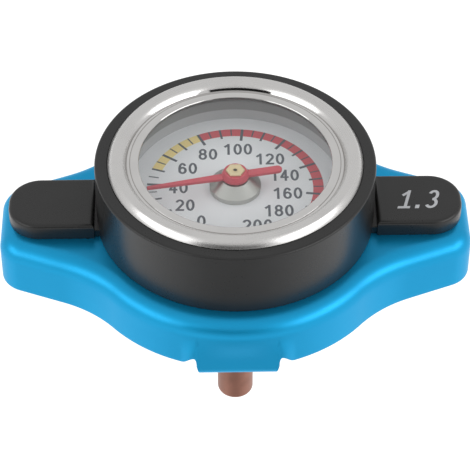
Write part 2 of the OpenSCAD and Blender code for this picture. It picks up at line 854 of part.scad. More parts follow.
cap_shell();
gauge_housing();
gauge_case();
bezel_ring();
lens_glass();
lens_gasket();
liner_ring();
dial_plate();
dial_spacer();
dial_bush();
pointer();
pointer_boss();
spindle();
stem_socket();
stem_tube();
spindle_guide();
bimetal_coil();
coil_anchor();
clamp_nut();
lock_washer();
sealing_washer();
diaphragm_spring();
neck_gasket();
valve_bell();
pressure_spring();
pressure_plate();
seal_cup();
pressure_seal();
valve_sleeve();
stem_seal();
gland_washer();
vacuum_disc();
vacuum_spring();
spring_retainer();
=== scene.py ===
"""Radiator cap thermometer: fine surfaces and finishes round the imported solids.

Sizes are in millimetres, in the frame of the part, and become metres when a mesh is made.
"""

import logging
import math
from dataclasses import dataclass
from enum import Enum
from typing import ClassVar, Optional, Sequence, Union

import bpy
import numpy as np
from mathutils import Matrix, Vector


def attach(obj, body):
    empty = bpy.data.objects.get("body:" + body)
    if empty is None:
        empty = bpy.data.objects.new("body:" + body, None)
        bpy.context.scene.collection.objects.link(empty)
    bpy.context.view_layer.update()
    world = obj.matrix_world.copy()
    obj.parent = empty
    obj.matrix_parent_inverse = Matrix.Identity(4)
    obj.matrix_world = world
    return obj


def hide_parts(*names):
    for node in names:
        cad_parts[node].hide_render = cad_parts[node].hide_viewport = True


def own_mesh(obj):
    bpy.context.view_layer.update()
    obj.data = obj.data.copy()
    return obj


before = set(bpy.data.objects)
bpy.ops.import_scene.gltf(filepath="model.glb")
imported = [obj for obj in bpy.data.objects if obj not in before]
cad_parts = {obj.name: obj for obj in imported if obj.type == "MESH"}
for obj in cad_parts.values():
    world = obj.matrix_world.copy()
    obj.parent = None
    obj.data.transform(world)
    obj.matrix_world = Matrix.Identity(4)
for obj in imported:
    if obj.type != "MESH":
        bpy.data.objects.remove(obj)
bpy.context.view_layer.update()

LOG = logging.getLogger("cap_thermometer")
MM = 0.001
TURN = 2 * math.pi
QUARTER = math.pi / 2
TINY = 1e-6
SEAT = 0.05
Pair = tuple[float, float]
Triple = tuple[float, float, float]
Sizes = tuple[float, ...]
Radii = Union[float, Sizes]
Array = np.ndarray
Obj = bpy.types.Object


class Body(Enum):
    """The rigid bodies that pieces ride on."""

    CAP = "cap"
    NEEDLE = "needle"
    PRESSURE = "pressure_valve"
    VACUUM = "vacuum_valve"


class Lay(Enum):
    """Which way the fine marks of a finish run, as what each axis counts in the noise they come from."""

    AROUND = (0.03, 0.03, 0.0)
    ALONG = (1.0, 1.0, 0.03)
    ROLLED = (0.03, 1.0, 1.0)
    EVEN = (1.0, 1.0, 1.0)


# Surfaces


@dataclass
class Shell:
    """A surface as points in millimetres and faces of three or four corners."""

    points: Array
    faces: list[Array]

    def outward(self) -> "Shell":
        """Turns the faces outwards: tetrahedra from the origin to all triangles add up to the volume.

        Returns:
            This shell, or one with its faces turned round.
        """
        volume = 0.0
        for part in self.faces:
            for k in range(1, part.shape[1] - 1):
                a, b, c = (self.points[part[:, i]] for i in (0, k, k + 1))
                volume += float(np.einsum("ij,ij->i", a, np.cross(b, c)).sum()) / 6.0
        return self if volume >= 0.0 else Shell(self.points, [part[:, ::-1] for part in self.faces])

    def moved(self, by: Sequence[float]) -> "Shell":
        """Gives the shell shifted by a vector."""
        return Shell(self.points + np.asarray(by, float), self.faces)

    def turned(self, degrees: float) -> "Shell":
        """Gives the shell turned about the axis."""
        c, s = math.cos(math.radians(degrees)), math.sin(math.radians(degrees))
        return Shell(self.points @ np.array([[c, s, 0], [-s, c, 0], [0, 0, 1]]), self.faces)


def joined(*shells: Shell) -> Shell:
    """Puts several shells into one, each as an island of its own.

    Args:
        shells: The shells to put together.

    Returns:
        One shell with all their points and faces.
    """
    starts = np.cumsum([0] + [len(s.points) for s in shells])
    faces = [part + start for s, start in zip(shells, starts) for part in s.faces]
    return Shell(np.concatenate([s.points for s in shells]), faces)


def unit(vectors: Array) -> Array:
    """Scales each row vector to length one."""
    return vectors / np.linalg.norm(vectors, axis=-1, keepdims=True)


def rays(angle: Array) -> Array:
    """Gives the flat vectors (cos a, sin a)."""
    return np.stack([np.cos(angle), np.sin(angle)], axis=-1)


def around(r: Array, angle: Array, z: Array) -> Array:
    """Gives the points (r cos a, r sin a, z)."""
    return np.stack(np.broadcast_arrays(r * np.cos(angle), r * np.sin(angle), z), axis=-1)


def whole_turn(steps: int) -> Array:
    """Gives even angles round the axis, as a column."""
    return np.linspace(0, TURN, steps, endpoint=False)[:, None]


def stepped(*values: float) -> Array:
    """Gives the corners (x0, y0), (x1, y0), (x1, y1), (x2, y1) and so on, from x and y in turn."""
    x, y = np.repeat(values[::2], 2), np.repeat(values[1::2], 2)
    return np.stack([np.roll(x, -1), y], axis=-1)


def smooth_step(low: float, high: float, value: Array) -> Array:
    """Goes from 0 to 1 between two values as 3 t^2 - 2 t^3."""
    t = np.clip((value - low) / (high - low), 0, 1)
    return t * t * (3 - 2 * t)


def grid_faces(grid: Array, close_rows: bool = True, close_cols: bool = True) -> Array:
    """Joins each point of a grid to its next row and next column.

    Args:
        grid: The grid of points.
        close_rows: Whether the last row joins the first.
        close_cols: Whether the last column joins the first.

    Returns:
        Faces of four corners, as rows of point numbers.
    """
    here = np.arange(grid.shape[0] * grid.shape[1]).reshape(grid.shape[:2])
    below = np.roll(here, -1, 0)
    quads = np.stack([here, below, np.roll(below, -1, 1), np.roll(here, -1, 1)], axis=-1)
    quads = quads if close_rows else quads[:-1]
    quads = quads if close_cols else quads[:, :-1]
    return quads.reshape(-1, 4)


def wrapped(grid: Array) -> Shell:
    """Closes a grid of points in both directions."""
    return Shell(grid.reshape(-1, 3), [grid_faces(grid)]).outward()


def capped(grid: Array, poles: Sequence[Sequence[float]], by_rows: bool = True) -> Shell:
    """Closes a grid in one direction, and its two ends in the other with fans about poles.

    Args:
        grid: The grid of points.
        poles: The two points in the middle of the ends.
        by_rows: Whether the rows close and the ends are columns, or the other way round.

    Returns:
        The closed shell.
    """
    index = np.arange(grid.shape[0] * grid.shape[1]).reshape(grid.shape[:2])
    ends = (index[:, 0], index[::-1, -1]) if by_rows else (index[0, ::-1], index[-1])
    faces = [grid_faces(grid, by_rows, not by_rows)]
    for hub, ring in enumerate(ends, index.size):
        faces.append(np.stack([np.roll(ring, -1), ring, np.full(len(ring), hub)], axis=-1))
    return Shell(np.concatenate([grid.reshape(-1, 3), poles]), faces).outward()


def fillet(
    corners: Sequence[Pair], radius: Radii, steps: int = 4, crease: float = 0.05, closed: bool = True
) -> Array:
    """Rounds the corners of a flat outline.

    Each corner becomes an arc that touches both its edges: the centre lies on the bisector at
    radius / sin(half angle), and the arc is the blend of its two end rays by the sines of their shares.
    A point just outside each end keeps the shading of the flats clean. No arc takes up half an edge.

    Args:
        corners: The outline's corners.
        radius: One radius, or one for each rounded corner.
        steps: Steps along each arc.
        crease: Length of the flat strip kept beside an arc.
        closed: Whether the outline is a loop. If not, its two ends stay as they are.

    Returns:
        The points of the rounded outline.
    """
    strip_share, edge_share = 0.2, 0.49
    given = np.asarray(corners, float)
    if closed:
        before, at, after = np.roll(given, 1, 0), given, np.roll(given, -1, 0)
    else:
        before, at, after = given[:-2], given[1:-1], given[2:]
    shorter = np.minimum(np.linalg.norm(before - at, axis=1), np.linalg.norm(after - at, axis=1))
    back, onward = unit(before - at), unit(after - at)
    half = np.arccos(np.clip((back * onward).sum(1), -1, 1)) / 2
    strip = np.minimum(crease, strip_share * shorter)
    size = np.minimum(np.asarray(radius, float), (edge_share * shorter - strip) * np.tan(half))
    reach = size / np.tan(half)
    start, end = at + back * reach[:, None], at + onward * reach[:, None]
    centre = (at + unit(back + onward) * (size / np.sin(half))[:, None])[:, None]
    span = (math.pi - 2 * half)[:, None, None]
    share = np.linspace(0, 1, steps + 1)[None, :, None]
    from_start = np.sin((1 - share) * span) / np.sin(span) * (start[:, None] - centre)
    arc = centre + from_start + np.sin(share * span) / np.sin(span) * (end[:, None] - centre)
    lead_in = (start + back * strip[:, None])[:, None]
    lead_out = (end + onward * strip[:, None])[:, None]
    rounded = np.concatenate([lead_in, arc, lead_out], axis=1).reshape(-1, 2)
    return rounded if closed else np.concatenate([given[:1], rounded, given[-1:]])


def turned(
    corners: Sequence[Pair],
    radius: Optional[Radii] = 0.08,
    segments: int = 144,
    steps: int = 4,
    closed: bool = True,
) -> Shell:
    """Turns a profile about the axis: point (r, z) at angle a goes to (r cos a, r sin a, z).

    Args:
        corners: Corners (r, z) of the profile. An open profile starts and ends on the axis.
        radius: One radius, or one for each rounded corner. None leaves the profile as it is.
        segments: Steps round the axis.
        steps: Steps along each rounded corner.
        closed: Whether the profile is a loop clear of the axis.

    Returns:
        The turned shell.
    """
    profile = np.asarray(corners) if radius is None else fillet(corners, radius, steps, closed=closed)
    ring = profile if closed else profile[1:-1]
    grid = around(ring[None, :, 0], whole_turn(segments), ring[None, :, 1])
    return wrapped(grid) if closed else capped(grid, [[0, 0, profile[i, 1]] for i in (0, -1)])


def plate(
    outline: Array, low: float, high: float, top_edge: float, low_edge: float, steps: int = 5
) -> Shell:
    """Makes a flat plate with rounded rims.

    A row of [inset, height] runs up the rim: a quarter arc at the foot, the wall, and a quarter arc on top.
    Each row moves the outline inwards by its inset along the mitre of the two edges at each point, and fans
    close both faces.

    Args:
        outline: Points of the plate's outline, anticlockwise.
        low: Height of the lower face.
        high: Height of the upper face.
        top_edge: Radius of the upper rim.
        low_edge: Radius of the lower rim.
        steps: Steps along each rim.

    Returns:
        The plate.
    """
    past_rim = 1.6
    along = unit(np.roll(outline, -1, 0) - outline)
    beside = np.stack([along[:, 1], -along[:, 0]], axis=-1)
    before = np.roll(beside, 1, 0)
    out = (before + beside) / (1 + (before * beside).sum(1, keepdims=True))
    a = np.linspace(0, QUARTER, steps + 1)
    foot, head = low_edge * (1 - np.sin(a)), top_edge * (1 - np.cos(a))
    inset = np.concatenate([[past_rim * low_edge], foot, head, [past_rim * top_edge]])
    foot, head = low + low_edge * (1 - np.cos(a)), high - top_edge * (1 - np.sin(a))
    height = np.concatenate([[low], foot, head, [high]])
    flat = outline[:, None] - inset[None, :, None] * out[:, None]
    grid = np.concatenate([flat, np.broadcast_to(height[None, :, None], flat.shape[:2] + (1,))], axis=-1)
    return capped(grid, [[*outline.mean(0), z] for z in (low, high)])


def swept(path: Array, section: Array) -> Shell:
    """Carries a closed section along a path and closes both ends.

    At each point the section's first axis is the cross product of the path's direction and +Z, and its
    second is square to both.

    Args:
        path: Points along the path.
        section: Points [sideways, upwards] of the section.

    Returns:
        The swept shell.
    """
    along = unit(np.gradient(path, axis=0))
    side = unit(np.cross(along, [0.0, 0.0, 1.0]))
    up = np.cross(side, along)
    grid = path[:, None] + section[:, :1] * side[:, None] + section[:, 1:] * up[:, None]
    return capped(grid, path[[0, -1]], by_rows=False)


def helix(radius: float, low: float, high: float, turns: float, lead: float, steps: int = 48) -> Array:
    """Winds a path that rises evenly from one height to another, with a short straight run at each end.

    Args:
        radius: Mean radius.
        low: Height at the start.
        high: Height at the end.
        turns: Number of turns.
        lead: Length of the straight runs.
        steps: Points in each turn.

    Returns:
        The points of the path.
    """
    share = np.linspace(0, 1, round(turns * steps) + 1)
    a = TURN * turns * share
    wound = around(radius, a, low + (high - low) * share)
    last = wound[-1:] + lead * np.array([[-math.sin(a[-1]), math.cos(a[-1]), 0]])
    return np.concatenate([wound[:1] - [[0, lead, 0]], wound, last])


def spring(radius: float, low: float, high: float, turns: float, wire: float, sides: int) -> Shell:
    """Winds round wire into a spring that stands just clear of its two seats.

    Args:
        radius: Mean radius.
        low: Height of the lower seat.
        high: Height of the upper seat.
        turns: Number of turns.
        wire: Thickness of the wire.
        sides: Sides of the wire's section.

    Returns:
        The spring.
    """
    half = wire / 2
    path = helix(radius, low + SEAT + half, high - SEAT - half, turns, wire)
    return swept(path, half * rays(whole_turn(sides)[:, 0]))


def thick_sheet(outer: Array, inner: Array, keep: Array) -> Shell:
    """Closes two skins of a sheet into one solid.

    The skins are grids that close along their first direction. Only the faces that are kept exist, and
    wherever a kept face has no kept neighbour, a quad joins that edge of the outer skin to the same edge of
    the inner one.

    Args:
        outer: Grid of points of the outer skin.
        inner: Grid of points of the inner skin.
        keep: For each face, whether it exists.

    Returns:
        The sheet with its rims closed.
    """
    rows, cols = outer.shape[:2]
    count = rows * cols
    here = np.arange(count).reshape(rows, cols)
    below = np.roll(here, -1, 0)
    a, b, c, d = here[:, :-1], below[:, :-1], below[:, 1:], here[:, 1:]
    front = np.stack([a, b, c, d], axis=-1)[keep]
    gone = np.zeros((rows, 1), bool)
    beside = [
        (np.concatenate([gone, keep[:, :-1]], axis=1), a, b),
        (np.roll(keep, -1, 0), b, c),
        (np.concatenate([keep[:, 1:], gone], axis=1), c, d),
        (np.roll(keep, 1, 0), d, a),
    ]
    rims = []
    for neighbour, start, end in beside:
        edge = keep & ~neighbour
        s, e = start[edge], end[edge]
        rims.append(np.stack([e, s, s + count, e + count], axis=-1))
    faces = np.concatenate([front, front[:, ::-1] + count, *rims])
    points = np.concatenate([outer.reshape(-1, 3), inner.reshape(-1, 3)])
    used, number = np.unique(faces, return_inverse=True)
    return Shell(points[used], [number.reshape(faces.shape)]).outward()


def hexagon(angle: Array, flats: float, corner: float) -> Array:
    """Gives a hexagon's radius at an angle.

    It is half the width over flats divided by the cosine of the angle from the middle of the nearest flat,
    and never more than the radius that its corners are turned down to.

    Args:
        angle: Angles about the axis.
        flats: Width over flats.
        corner: Radius of the corners.

    Returns:
        The radii.
    """
    off = (angle + math.pi / 6) % (math.pi / 3) - math.pi / 6
    return np.minimum(flats / 2 / np.cos(off), corner)


@dataclass(frozen=True)
class Figures:
    """Plain figures drawn with strokes of one width, each in a box one unit high."""

    wide: float = 0.52
    stroke: float = 0.15
    space: float = 0.11
    foot: bool = False
    point: float = 0.5
    lower: float = 0.2

    def arc(self, centre: Pair, size: Pair, first: float, last: float) -> Array:
        """Draws an arc of an ellipse: centre + size * (cos a, sin a), with a in degrees."""
        return np.array(centre) + np.array(size) * rays(np.radians(np.linspace(first, last, 29)))

    def strokes(self, figure: str) -> list[Array]:
        """Draws the middle lines of a figure's strokes.

        Args:
            figure: One of 0, 1, 2, 3, 4, 6, 8 and the point.

        Returns:
            The lines, about the middle of the figure's box.
        """
        x, y, t = (self.wide - self.stroke) / 2, (1 - self.stroke) / 2, self.stroke / 2
        bend = math.radians(40)
        neck = (x * math.cos(bend), 0.46 * y - 0.54 * y * math.sin(bend))
        lines = {
            "0": [self.arc((0, 0), (x, y), 0, 372)],
            "1": [[(0.35 * x, -0.5), (0.35 * x, 0.5)], [(0.35 * x, 0.97 * y), (-x, 0.5 * y)]],
            "2": [
                self.arc((0, 0.46 * y), (x, 0.54 * y), 168, -40),
                [neck, (-x, -y)],
                [(-x - t, -y), (x + t, -y)],
            ],
            "3": [
                self.arc((-0.1 * x, 0.5 * y), (0.95 * x, 0.5 * y), 155, -92),
                self.arc((-0.1 * x, -0.5 * y), (1.1 * x, 0.5 * y), 92, -155),
            ],
            "4": [
                [(0.45 * x, y), (-x, -0.4 * y)],
                [(-x - 0.8 * t, -0.42 * y), (x + t, -0.42 * y)],
                [(0.45 * x, -0.5), (0.45 * x, 0.5)],
            ],
            "6": [
                self.arc((0, -0.42 * y), (x, 0.58 * y), 0, 372),
                [*self.arc((0, -0.05 * y), (x, 1.05 * y), 35, 180), (-x, -0.42 * y)],
            ],
            "8": [
                self.arc((0, 0.52 * y), (0.88 * x, 0.48 * y), -90, 282),
                self.arc((0, -0.46 * y), (x, 0.54 * y), 90, 462),
            ],
            ".": [[(-1.3 * t, h * t - 0.5), (1.3 * t, h * t - 0.5)] for h in (1.0, 2.2)],
        }[figure]
        if figure == "1" and self.foot:
            lines.append([(-x - t, -y), (1.2 * x + t, -y)])
        return [np.array(line) for line in lines]

    def write(self, text: str, height: float, depth: float, slant: float = 0.0) -> Shell:
        """Writes a number as thin ribbons, centred on the origin.

        Args:
            text: The number.
            height: Height of a figure.
            depth: Thickness of the ribbons.
            slant: Sideways shift for each unit of height.

        Returns:
            The ribbons, from height 0 to depth, each a little lower than the one before it.
        """
        widths = np.array([self.point if figure == "." else 1.0 for figure in text]) * self.wide
        middles = np.cumsum(widths + self.space) - self.space - widths / 2
        middles -= (widths.sum() + self.space * (len(text) - 1)) / 2
        half = self.stroke * height / 2
        made = []
        for figure, middle in zip(text, middles):
            for order, line in enumerate(self.strokes(figure)):
                flat = (line + [middle, 0]) * height
                ribbon = stepped(-half, 0, half, depth * (1 - self.lower * order))
                made.append(swept(np.column_stack([flat, np.zeros(len(flat))]), ribbon))
        shell = joined(*made)
        shell.points[:, 0] += slant * shell.points[:, 1]
        return shell


# Shader graphs


class Term:
    """A socket of a shader graph. Arithmetic on terms adds Math nodes."""

    def __init__(self, graph: "Graph", socket: bpy.types.NodeSocket) -> None:
        """Keeps the graph and the socket."""
        self.graph = graph
        self.socket = socket

    def __add__(self, other: "Number") -> "Term":
        """Adds."""
        return self.graph.math("ADD", self, other)

    def __radd__(self, other: "Number") -> "Term":
        """Adds to a number."""
        return self.graph.math("ADD", other, self)

    def __sub__(self, other: "Number") -> "Term":
        """Takes away."""
        return self.graph.math("SUBTRACT", self, other)

    def __rsub__(self, other: "Number") -> "Term":
        """Takes this from a number."""
        return self.graph.math("SUBTRACT", other, self)

    def __mul__(self, other: "Number") -> "Term":
        """Multiplies."""
        return self.graph.math("MULTIPLY", self, other)

    def __rmul__(self, other: "Number") -> "Term":
        """Multiplies a number."""
        return self.graph.math("MULTIPLY", other, self)

    def __pow__(self, other: "Number") -> "Term":
        """Raises to a power."""
        return self.graph.math("POWER", self, other)

    def __rpow__(self, other: "Number") -> "Term":
        """Raises a number to this power."""
        return self.graph.math("POWER", other, self)

    def eased(self, low: float, high: float) -> "Term":
        """Goes smoothly from 0 to 1 between two values.

        Args:
            low: Value at which it leaves 0.
            high: Value at which it reaches 1.

        Returns:
            The eased value.
        """
        settings = {"interpolation_type": "SMOOTHSTEP", "clamp": True}
        inputs = {"Value": self, "From Min": low, "From Max": high}
        return self.graph.node("ShaderNodeMapRange", settings, inputs)


Number = Union[float, Term]


class Graph:
    """The node graph of one material."""

    def __init__(self, name: str) -> None:
        """Starts an empty graph in a new material.

        Args:
            name: The material's name.
        """
        self.material = bpy.data.materials.new(name)
        self.material.use_nodes = True
        self.tree = self.material.node_tree
        self.tree.nodes.clear()

    def add(self, kind: str, settings: dict, inputs: dict) -> bpy.types.Node:
        """Adds a node.

        Args:
            kind: The node's type.
            settings: Its own settings, which are set first.
            inputs: Values or links of its sockets, by name or number.

        Returns:
            The node.
        """
        made = self.tree.nodes.new(kind)
        for key, value in settings.items():
            setattr(made, key, value)
        for key, value in inputs.items():
            if isinstance(value, Term):
                self.tree.links.new(value.socket, made.inputs[key])
            else:
                made.inputs[key].default_value = value
        return made

    def node(self, kind: str, settings: dict, inputs: dict, output: Union[int, str] = 0) -> Term:
        """Adds a node and gives one of its outputs."""
        return Term(self, self.add(kind, settings, inputs).outputs[output])

    def math(self, operation: str, first: Number, second: Number) -> Term:
        """Adds a Math node."""
        return self.node("ShaderNodeMath", {"operation": operation}, {0: first, 1: second})

    def vector(self, operation: str, first: Term, second: Union[Triple, Term]) -> Term:
        """Adds a Vector Math node."""
        return self.node("ShaderNodeVectorMath", {"operation": operation}, {0: first, 1: second})

    def mix(self, share: Number, first: Union[Triple, Term], second: Union[Triple, Term]) -> Term:
        """Blends two colours."""
        a, b = (c if isinstance(c, Term) else (*c, 1.0) for c in (first, second))
        return self.node("ShaderNodeMix", {"data_type": "RGBA"}, {0: share, 6: a, 7: b}, 2)

    def place(self) -> Term:
        """Gives the object's own coordinates."""
        return self.node("ShaderNodeTexCoord", {}, {}, "Object")

    def axes(self) -> tuple[Term, ...]:
        """Gives the three numbers of the object's own coordinates."""
        parted = self.add("ShaderNodeSeparateXYZ", {}, {0: self.place()})
        return tuple(Term(self, socket) for socket in parted.outputs)

    def off_axis(self) -> Term:
        """Gives the distance from the axis, the root of x^2 + y^2."""
        x, y, _ = self.axes()
        return (x * x + y * y) ** 0.5

    def noise(self, scale: float, detail: float = 2.0, vector: Optional[Term] = None) -> Term:
        """Gives soft noise from 0 to 1, of the object's own coordinates unless others are given."""
        inputs = {"Vector": vector or self.place(), "Scale": scale, "Detail": detail}
        return self.node("ShaderNodeTexNoise", {}, inputs)

    def lay(self, lay: Lay, scale: float) -> Term:
        """Gives noise that is drawn out along the marks of a finish.

        Args:
            lay: Which way the marks run.
            scale: Marks to the metre across their run.

        Returns:
            A value from 0 to 1.
        """
        drawn = self.vector("MULTIPLY", self.place(), lay.value)
        if lay is Lay.AROUND:
            rings = self.node("ShaderNodeCombineXYZ", {}, {0: self.off_axis(), 1: self.axes()[2]})
            drawn = self.vector("ADD", rings, drawn)
        return self.noise(scale, vector=drawn)

    def bump(self, height: Term, strength: float, depth: float) -> Term:
        """Turns a height from 0 to 1 into a bent normal, for relief of a depth in millimetres."""
        inputs = {"Strength": strength, "Distance": depth * MM, "Height": height}
        return self.node("ShaderNodeBump", {}, inputs)

    def principled(self, inputs: dict) -> Term:
        """Adds the main shader."""
        return self.node("ShaderNodeBsdfPrincipled", {}, inputs)

    def closed(self, shader: Term) -> bpy.types.Material:
        """Links a shader to the material's output and gives the material."""
        self.add("ShaderNodeOutputMaterial", {}, {"Surface": shader})
        return self.material


# Finishes


def grey(tone: float) -> Triple:
    """Gives a grey."""
    return tone, tone, tone


@dataclass(frozen=True)
class Finish:
    """A finish. Its material is made once and shared."""

    name: str
    made: ClassVar[dict[str, bpy.types.Material]] = {}

    def material(self) -> bpy.types.Material:
        """Gives the finish's material.

        Returns:
            The material, which the first call makes.
        """
        if self.name not in self.made:
            graph = Graph(self.name)
            self.made[self.name] = graph.closed(self.shader(graph))
        return self.made[self.name]

    def shader(self, graph: Graph) -> Term:
        """Makes the finish's shader in a new graph."""
        raise NotImplementedError


@dataclass(frozen=True)
class Metal(Finish):
    """Bare or plated metal with fine marks, cloudy tarnish and a little relief."""

    colour: Triple
    tarnish: Triple
    rough: float
    spread: float
    lay: Lay
    marks: float
    relief: float
    cloud: float = 0.35
    cloud_scale: float = 260.0
    cloud_band: Pair = (0.4, 0.75)
    cloud_gloss: float = 0.6
    fine_scale: float = 9000.0
    fine_share: float = 0.2
    bump: float = 0.5

    def shader(self, graph: Graph) -> Term:
        """Makes the metal: marks steer roughness and relief, and slow noise steers the tarnish.

        Args:
            graph: The graph to fill.

        Returns:
            The shader.
        """
        marks = graph.lay(self.lay, self.marks)
        clouds = graph.noise(self.cloud_scale, 3.0)
        fine = graph.noise(self.fine_scale, 1.0)
        cloudy = (clouds - 0.5) * (self.cloud_gloss * self.spread)
        height = marks * (1 - self.fine_share) + fine * self.fine_share
        return graph.principled({
            "Base Color": graph.mix(clouds.eased(*self.cloud_band) * self.cloud, self.colour, self.tarnish),
            "Metallic": 1.0,
            "Roughness": self.rough + (marks - 0.5) * self.spread + cloudy,
            "Normal": graph.bump(height, self.bump, self.relief),
        })


@dataclass(frozen=True)
class Plating(Finish):
    """Bright plating on a rolled rim: satin over the crest, and polished in the groove at its foot."""

    colour: Triple
    tarnish: Triple
    satin: float
    polished: float
    groove: Pair
    marks: float = 6500.0
    marks_gloss: float = 0.05
    relief: float = 0.0015
    bump: float = 0.5
    cloud: float = 0.35
    cloud_scale: float = 260.0
    cloud_band: Pair = (0.4, 0.75)
    cloud_gloss: float = 0.04

    def shader(self, graph: Graph) -> Term:
        """Makes the plating: the distance from the axis steers roughness, with ring marks and clouds.

        Args:
            graph: The graph to fill.

        Returns:
            The shader.
        """
        outside = graph.off_axis().eased(self.groove[0] * MM, self.groove[1] * MM)
        marks = graph.lay(Lay.AROUND, self.marks)
        clouds = graph.noise(self.cloud_scale, 3.0)
        rough = self.polished + outside * (self.satin - self.polished)
        return graph.principled({
            "Base Color": graph.mix(clouds.eased(*self.cloud_band) * self.cloud, self.colour, self.tarnish),
            "Metallic": 1.0,
            "Roughness": rough + (marks - 0.5) * self.marks_gloss + (clouds - 0.5) * self.cloud_gloss,
            "Normal": graph.bump(marks, self.bump, self.relief),
        })


@dataclass(frozen=True)
class Anodised(Finish):
    """Coloured anodised sheet: a satin metal under a thin clear film, evenly etched."""

    colour: Triple
    deep: Triple
    rough: float
    scales: Triple = (5200.0, 1500.0, 90.0)
    cloud_band: Pair = (0.3, 0.7)
    cloud_share: float = 0.35
    pore_share: float = 0.1
    metal: float = 0.8
    tint: Triple = (0.55, 0.88, 1.0)
    grain_gloss: float = 0.1
    cloud_gloss: float = 0.06
    film: float = 0.14
    film_rough: float = 0.2
    pore_relief: float = 0.3
    relief: float = 0.012
    bump: float = 0.35

    def shader(self, graph: Graph) -> Term:
        """Makes the sheet: etched grain in the relief, and slow clouds in colour and gloss.

        Args:
            graph: The graph to fill.

        Returns:
            The shader.
        """
        grain, pores, clouds = (graph.noise(scale) for scale in self.scales)
        share = clouds.eased(*self.cloud_band) * self.cloud_share + pores * self.pore_share
        height = grain * (1 - self.pore_relief) + pores * self.pore_relief
        return graph.principled({
            "Base Color": graph.mix(share, self.colour, self.deep),
            "Metallic": self.metal,
            "Specular Tint": (*self.tint, 1.0),
            "Roughness": self.rough + (grain - 0.5) * self.grain_gloss + (clouds - 0.5) * self.cloud_gloss,
            "Coat Weight": self.film,
            "Coat Roughness": self.film_rough,
            "Normal": graph.bump(height, self.bump, self.relief),
        })


@dataclass(frozen=True)
class Coat(Finish):
    """Paint, powder coat, moulded plastic or printed ink."""

    colour: Triple
    second: Triple
    rough: float
    grain: float
    relief: float
    shine: float = 0.5
    speck_scale: float = 2.7
    speck_band: Pair = (0.5, 0.8)
    speck_share: float = 0.5
    speck_relief: float = 0.3
    cloud_scale: float = 140.0
    cloud_band: Pair = (0.35, 0.75)
    cloud_share: float = 0.4
    cloud_gloss: float = 0.08
    peel_gloss: float = 0.12
    bump: float = 0.4

    def shader(self, graph: Graph) -> Term:
        """Makes the coat: orange peel in the relief and specks in the colour.

        Args:
            graph: The graph to fill.

        Returns:
            The shader.
        """
        peel = graph.noise(self.grain)
        specks = graph.noise(self.grain * self.speck_scale, 1.0)
        clouds = graph.noise(self.cloud_scale)
        cloudy = clouds.eased(*self.cloud_band) * self.cloud_share
        share = specks.eased(*self.speck_band) * self.speck_share + cloudy
        height = peel * (1 - self.speck_relief) + specks * self.speck_relief
        return graph.principled({
            "Base Color": graph.mix(share, self.colour, self.second),
            "Roughness": self.rough + (peel - 0.5) * self.peel_gloss + (clouds - 0.5) * self.cloud_gloss,
            "Specular IOR Level": self.shine,
            "Normal": graph.bump(height, self.bump, self.relief),
        })


@dataclass(frozen=True)
class Backdrop(Finish):
    """A pale lit floor: matt, faintly mottled and glowing, with painted shade on a spot in front of the
    part, where colour and glow fade.
    """

    glow: float = 0.42
    shade_y: float = -0.95
    shade_r: float = 1.15
    shade_core: float = 0.15
    shade: float = 0.42
    shade_glow: float = 0.35
    pale: Pair = (0.90, 0.88)
    mottle: float = 3.0
    rough: float = 0.85

    def shader(self, graph: Graph) -> Term:
        """Makes the floor: slow clouds, and the distance from the shaded spot steers colour and glow.

        Args:
            graph: The graph to fill.

        Returns:
            The shader.
        """
        x, y, _ = graph.axes()
        # painted shade: towards the spot in front of the part the floor's colour and glow are darkened
        away = (x * x + (y - self.shade_y) ** 2.0) ** 0.5
        lit = away.eased(self.shade_core * self.shade_r, self.shade_r)
        pale = graph.mix(graph.noise(self.mottle), grey(self.pale[0]), grey(self.pale[1]))
        return graph.principled({
            "Base Color": graph.mix(lit, grey(self.shade), pale),
            "Roughness": self.rough,
            "Emission Color": graph.mix(lit, grey(self.shade_glow), grey(1.0)),
            "Emission Strength": self.glow,
        })


@dataclass(frozen=True)
class Glass(Finish):
    """Thin clear glass: it lets light straight through and reflects at its face."""

    rough: float = 0.03
    bend: float = 1.4
    strength: float = 2.0
    tint: Triple = (0.9, 0.95, 0.95)
    clear: Triple = (0.985, 0.992, 0.99)
    smear_scale: float = 220.0
    smear_lay: Triple = (1.0, 0.4, 1.0)
    smear_band: Pair = (0.5, 0.8)
    smear_rough: float = 0.05

    def shader(self, graph: Graph) -> Term:
        """Makes the glass: clear, mixed with a gloss that grows towards grazing angles.

        Args:
            graph: The graph to fill.

        Returns:
            The shader.
        """
        drawn = graph.vector("MULTIPLY", graph.place(), self.smear_lay)
        smears = graph.noise(self.smear_scale, 3.0, drawn).eased(*self.smear_band)
        gloss = graph.principled({
            "Base Color": (*self.tint, 1.0),
            "Metallic": 1.0,
            "Roughness": self.rough + smears * self.smear_rough,
        })
        clear = graph.node("ShaderNodeBsdfTransparent", {}, {"Color": (*self.clear, 1.0)})
        edge = graph.node("ShaderNodeFresnel", {}, {"IOR": self.bend})
        behind = graph.node("ShaderNodeNewGeometry", {}, {}, "Backfacing")
        share = edge * (1.0 - behind) * self.strength
        return graph.node("ShaderNodeMixShader", {}, {0: share, 1: clear, 2: gloss})


@dataclass(frozen=True)
class Liner(Finish):
    """A spun grey wall, its upper part painted darker as shade under the bezel's lip."""

    upper: Triple
    lower: Triple
    change: float
    soft: float = 0.12
    rings: float = 2600.0
    rough: float = 0.5
    spread: float = 0.12
    relief: float = 0.008
    bump: float = 0.3

    def shader(self, graph: Graph) -> Term:
        """Makes the wall: height picks the tone, with painted shade above the change height, and fine rings
        run round it.

        Args:
            graph: The graph to fill.

        Returns:
            The shader.
        """
        rings = graph.lay(Lay.AROUND, self.rings)
        # painted shade: above the change height the wall takes the darker upper grey, standing in for the
        # shade under the bezel's lip
        tone = graph.axes()[2].eased((self.change - self.soft) * MM, (self.change + self.soft) * MM)
        return graph.principled({
            "Base Color": graph.mix(tone, self.lower, self.upper),
            "Roughness": self.rough + (rings - 0.5) * self.spread,
            "Normal": graph.bump(rings, self.bump, self.relief),
        })


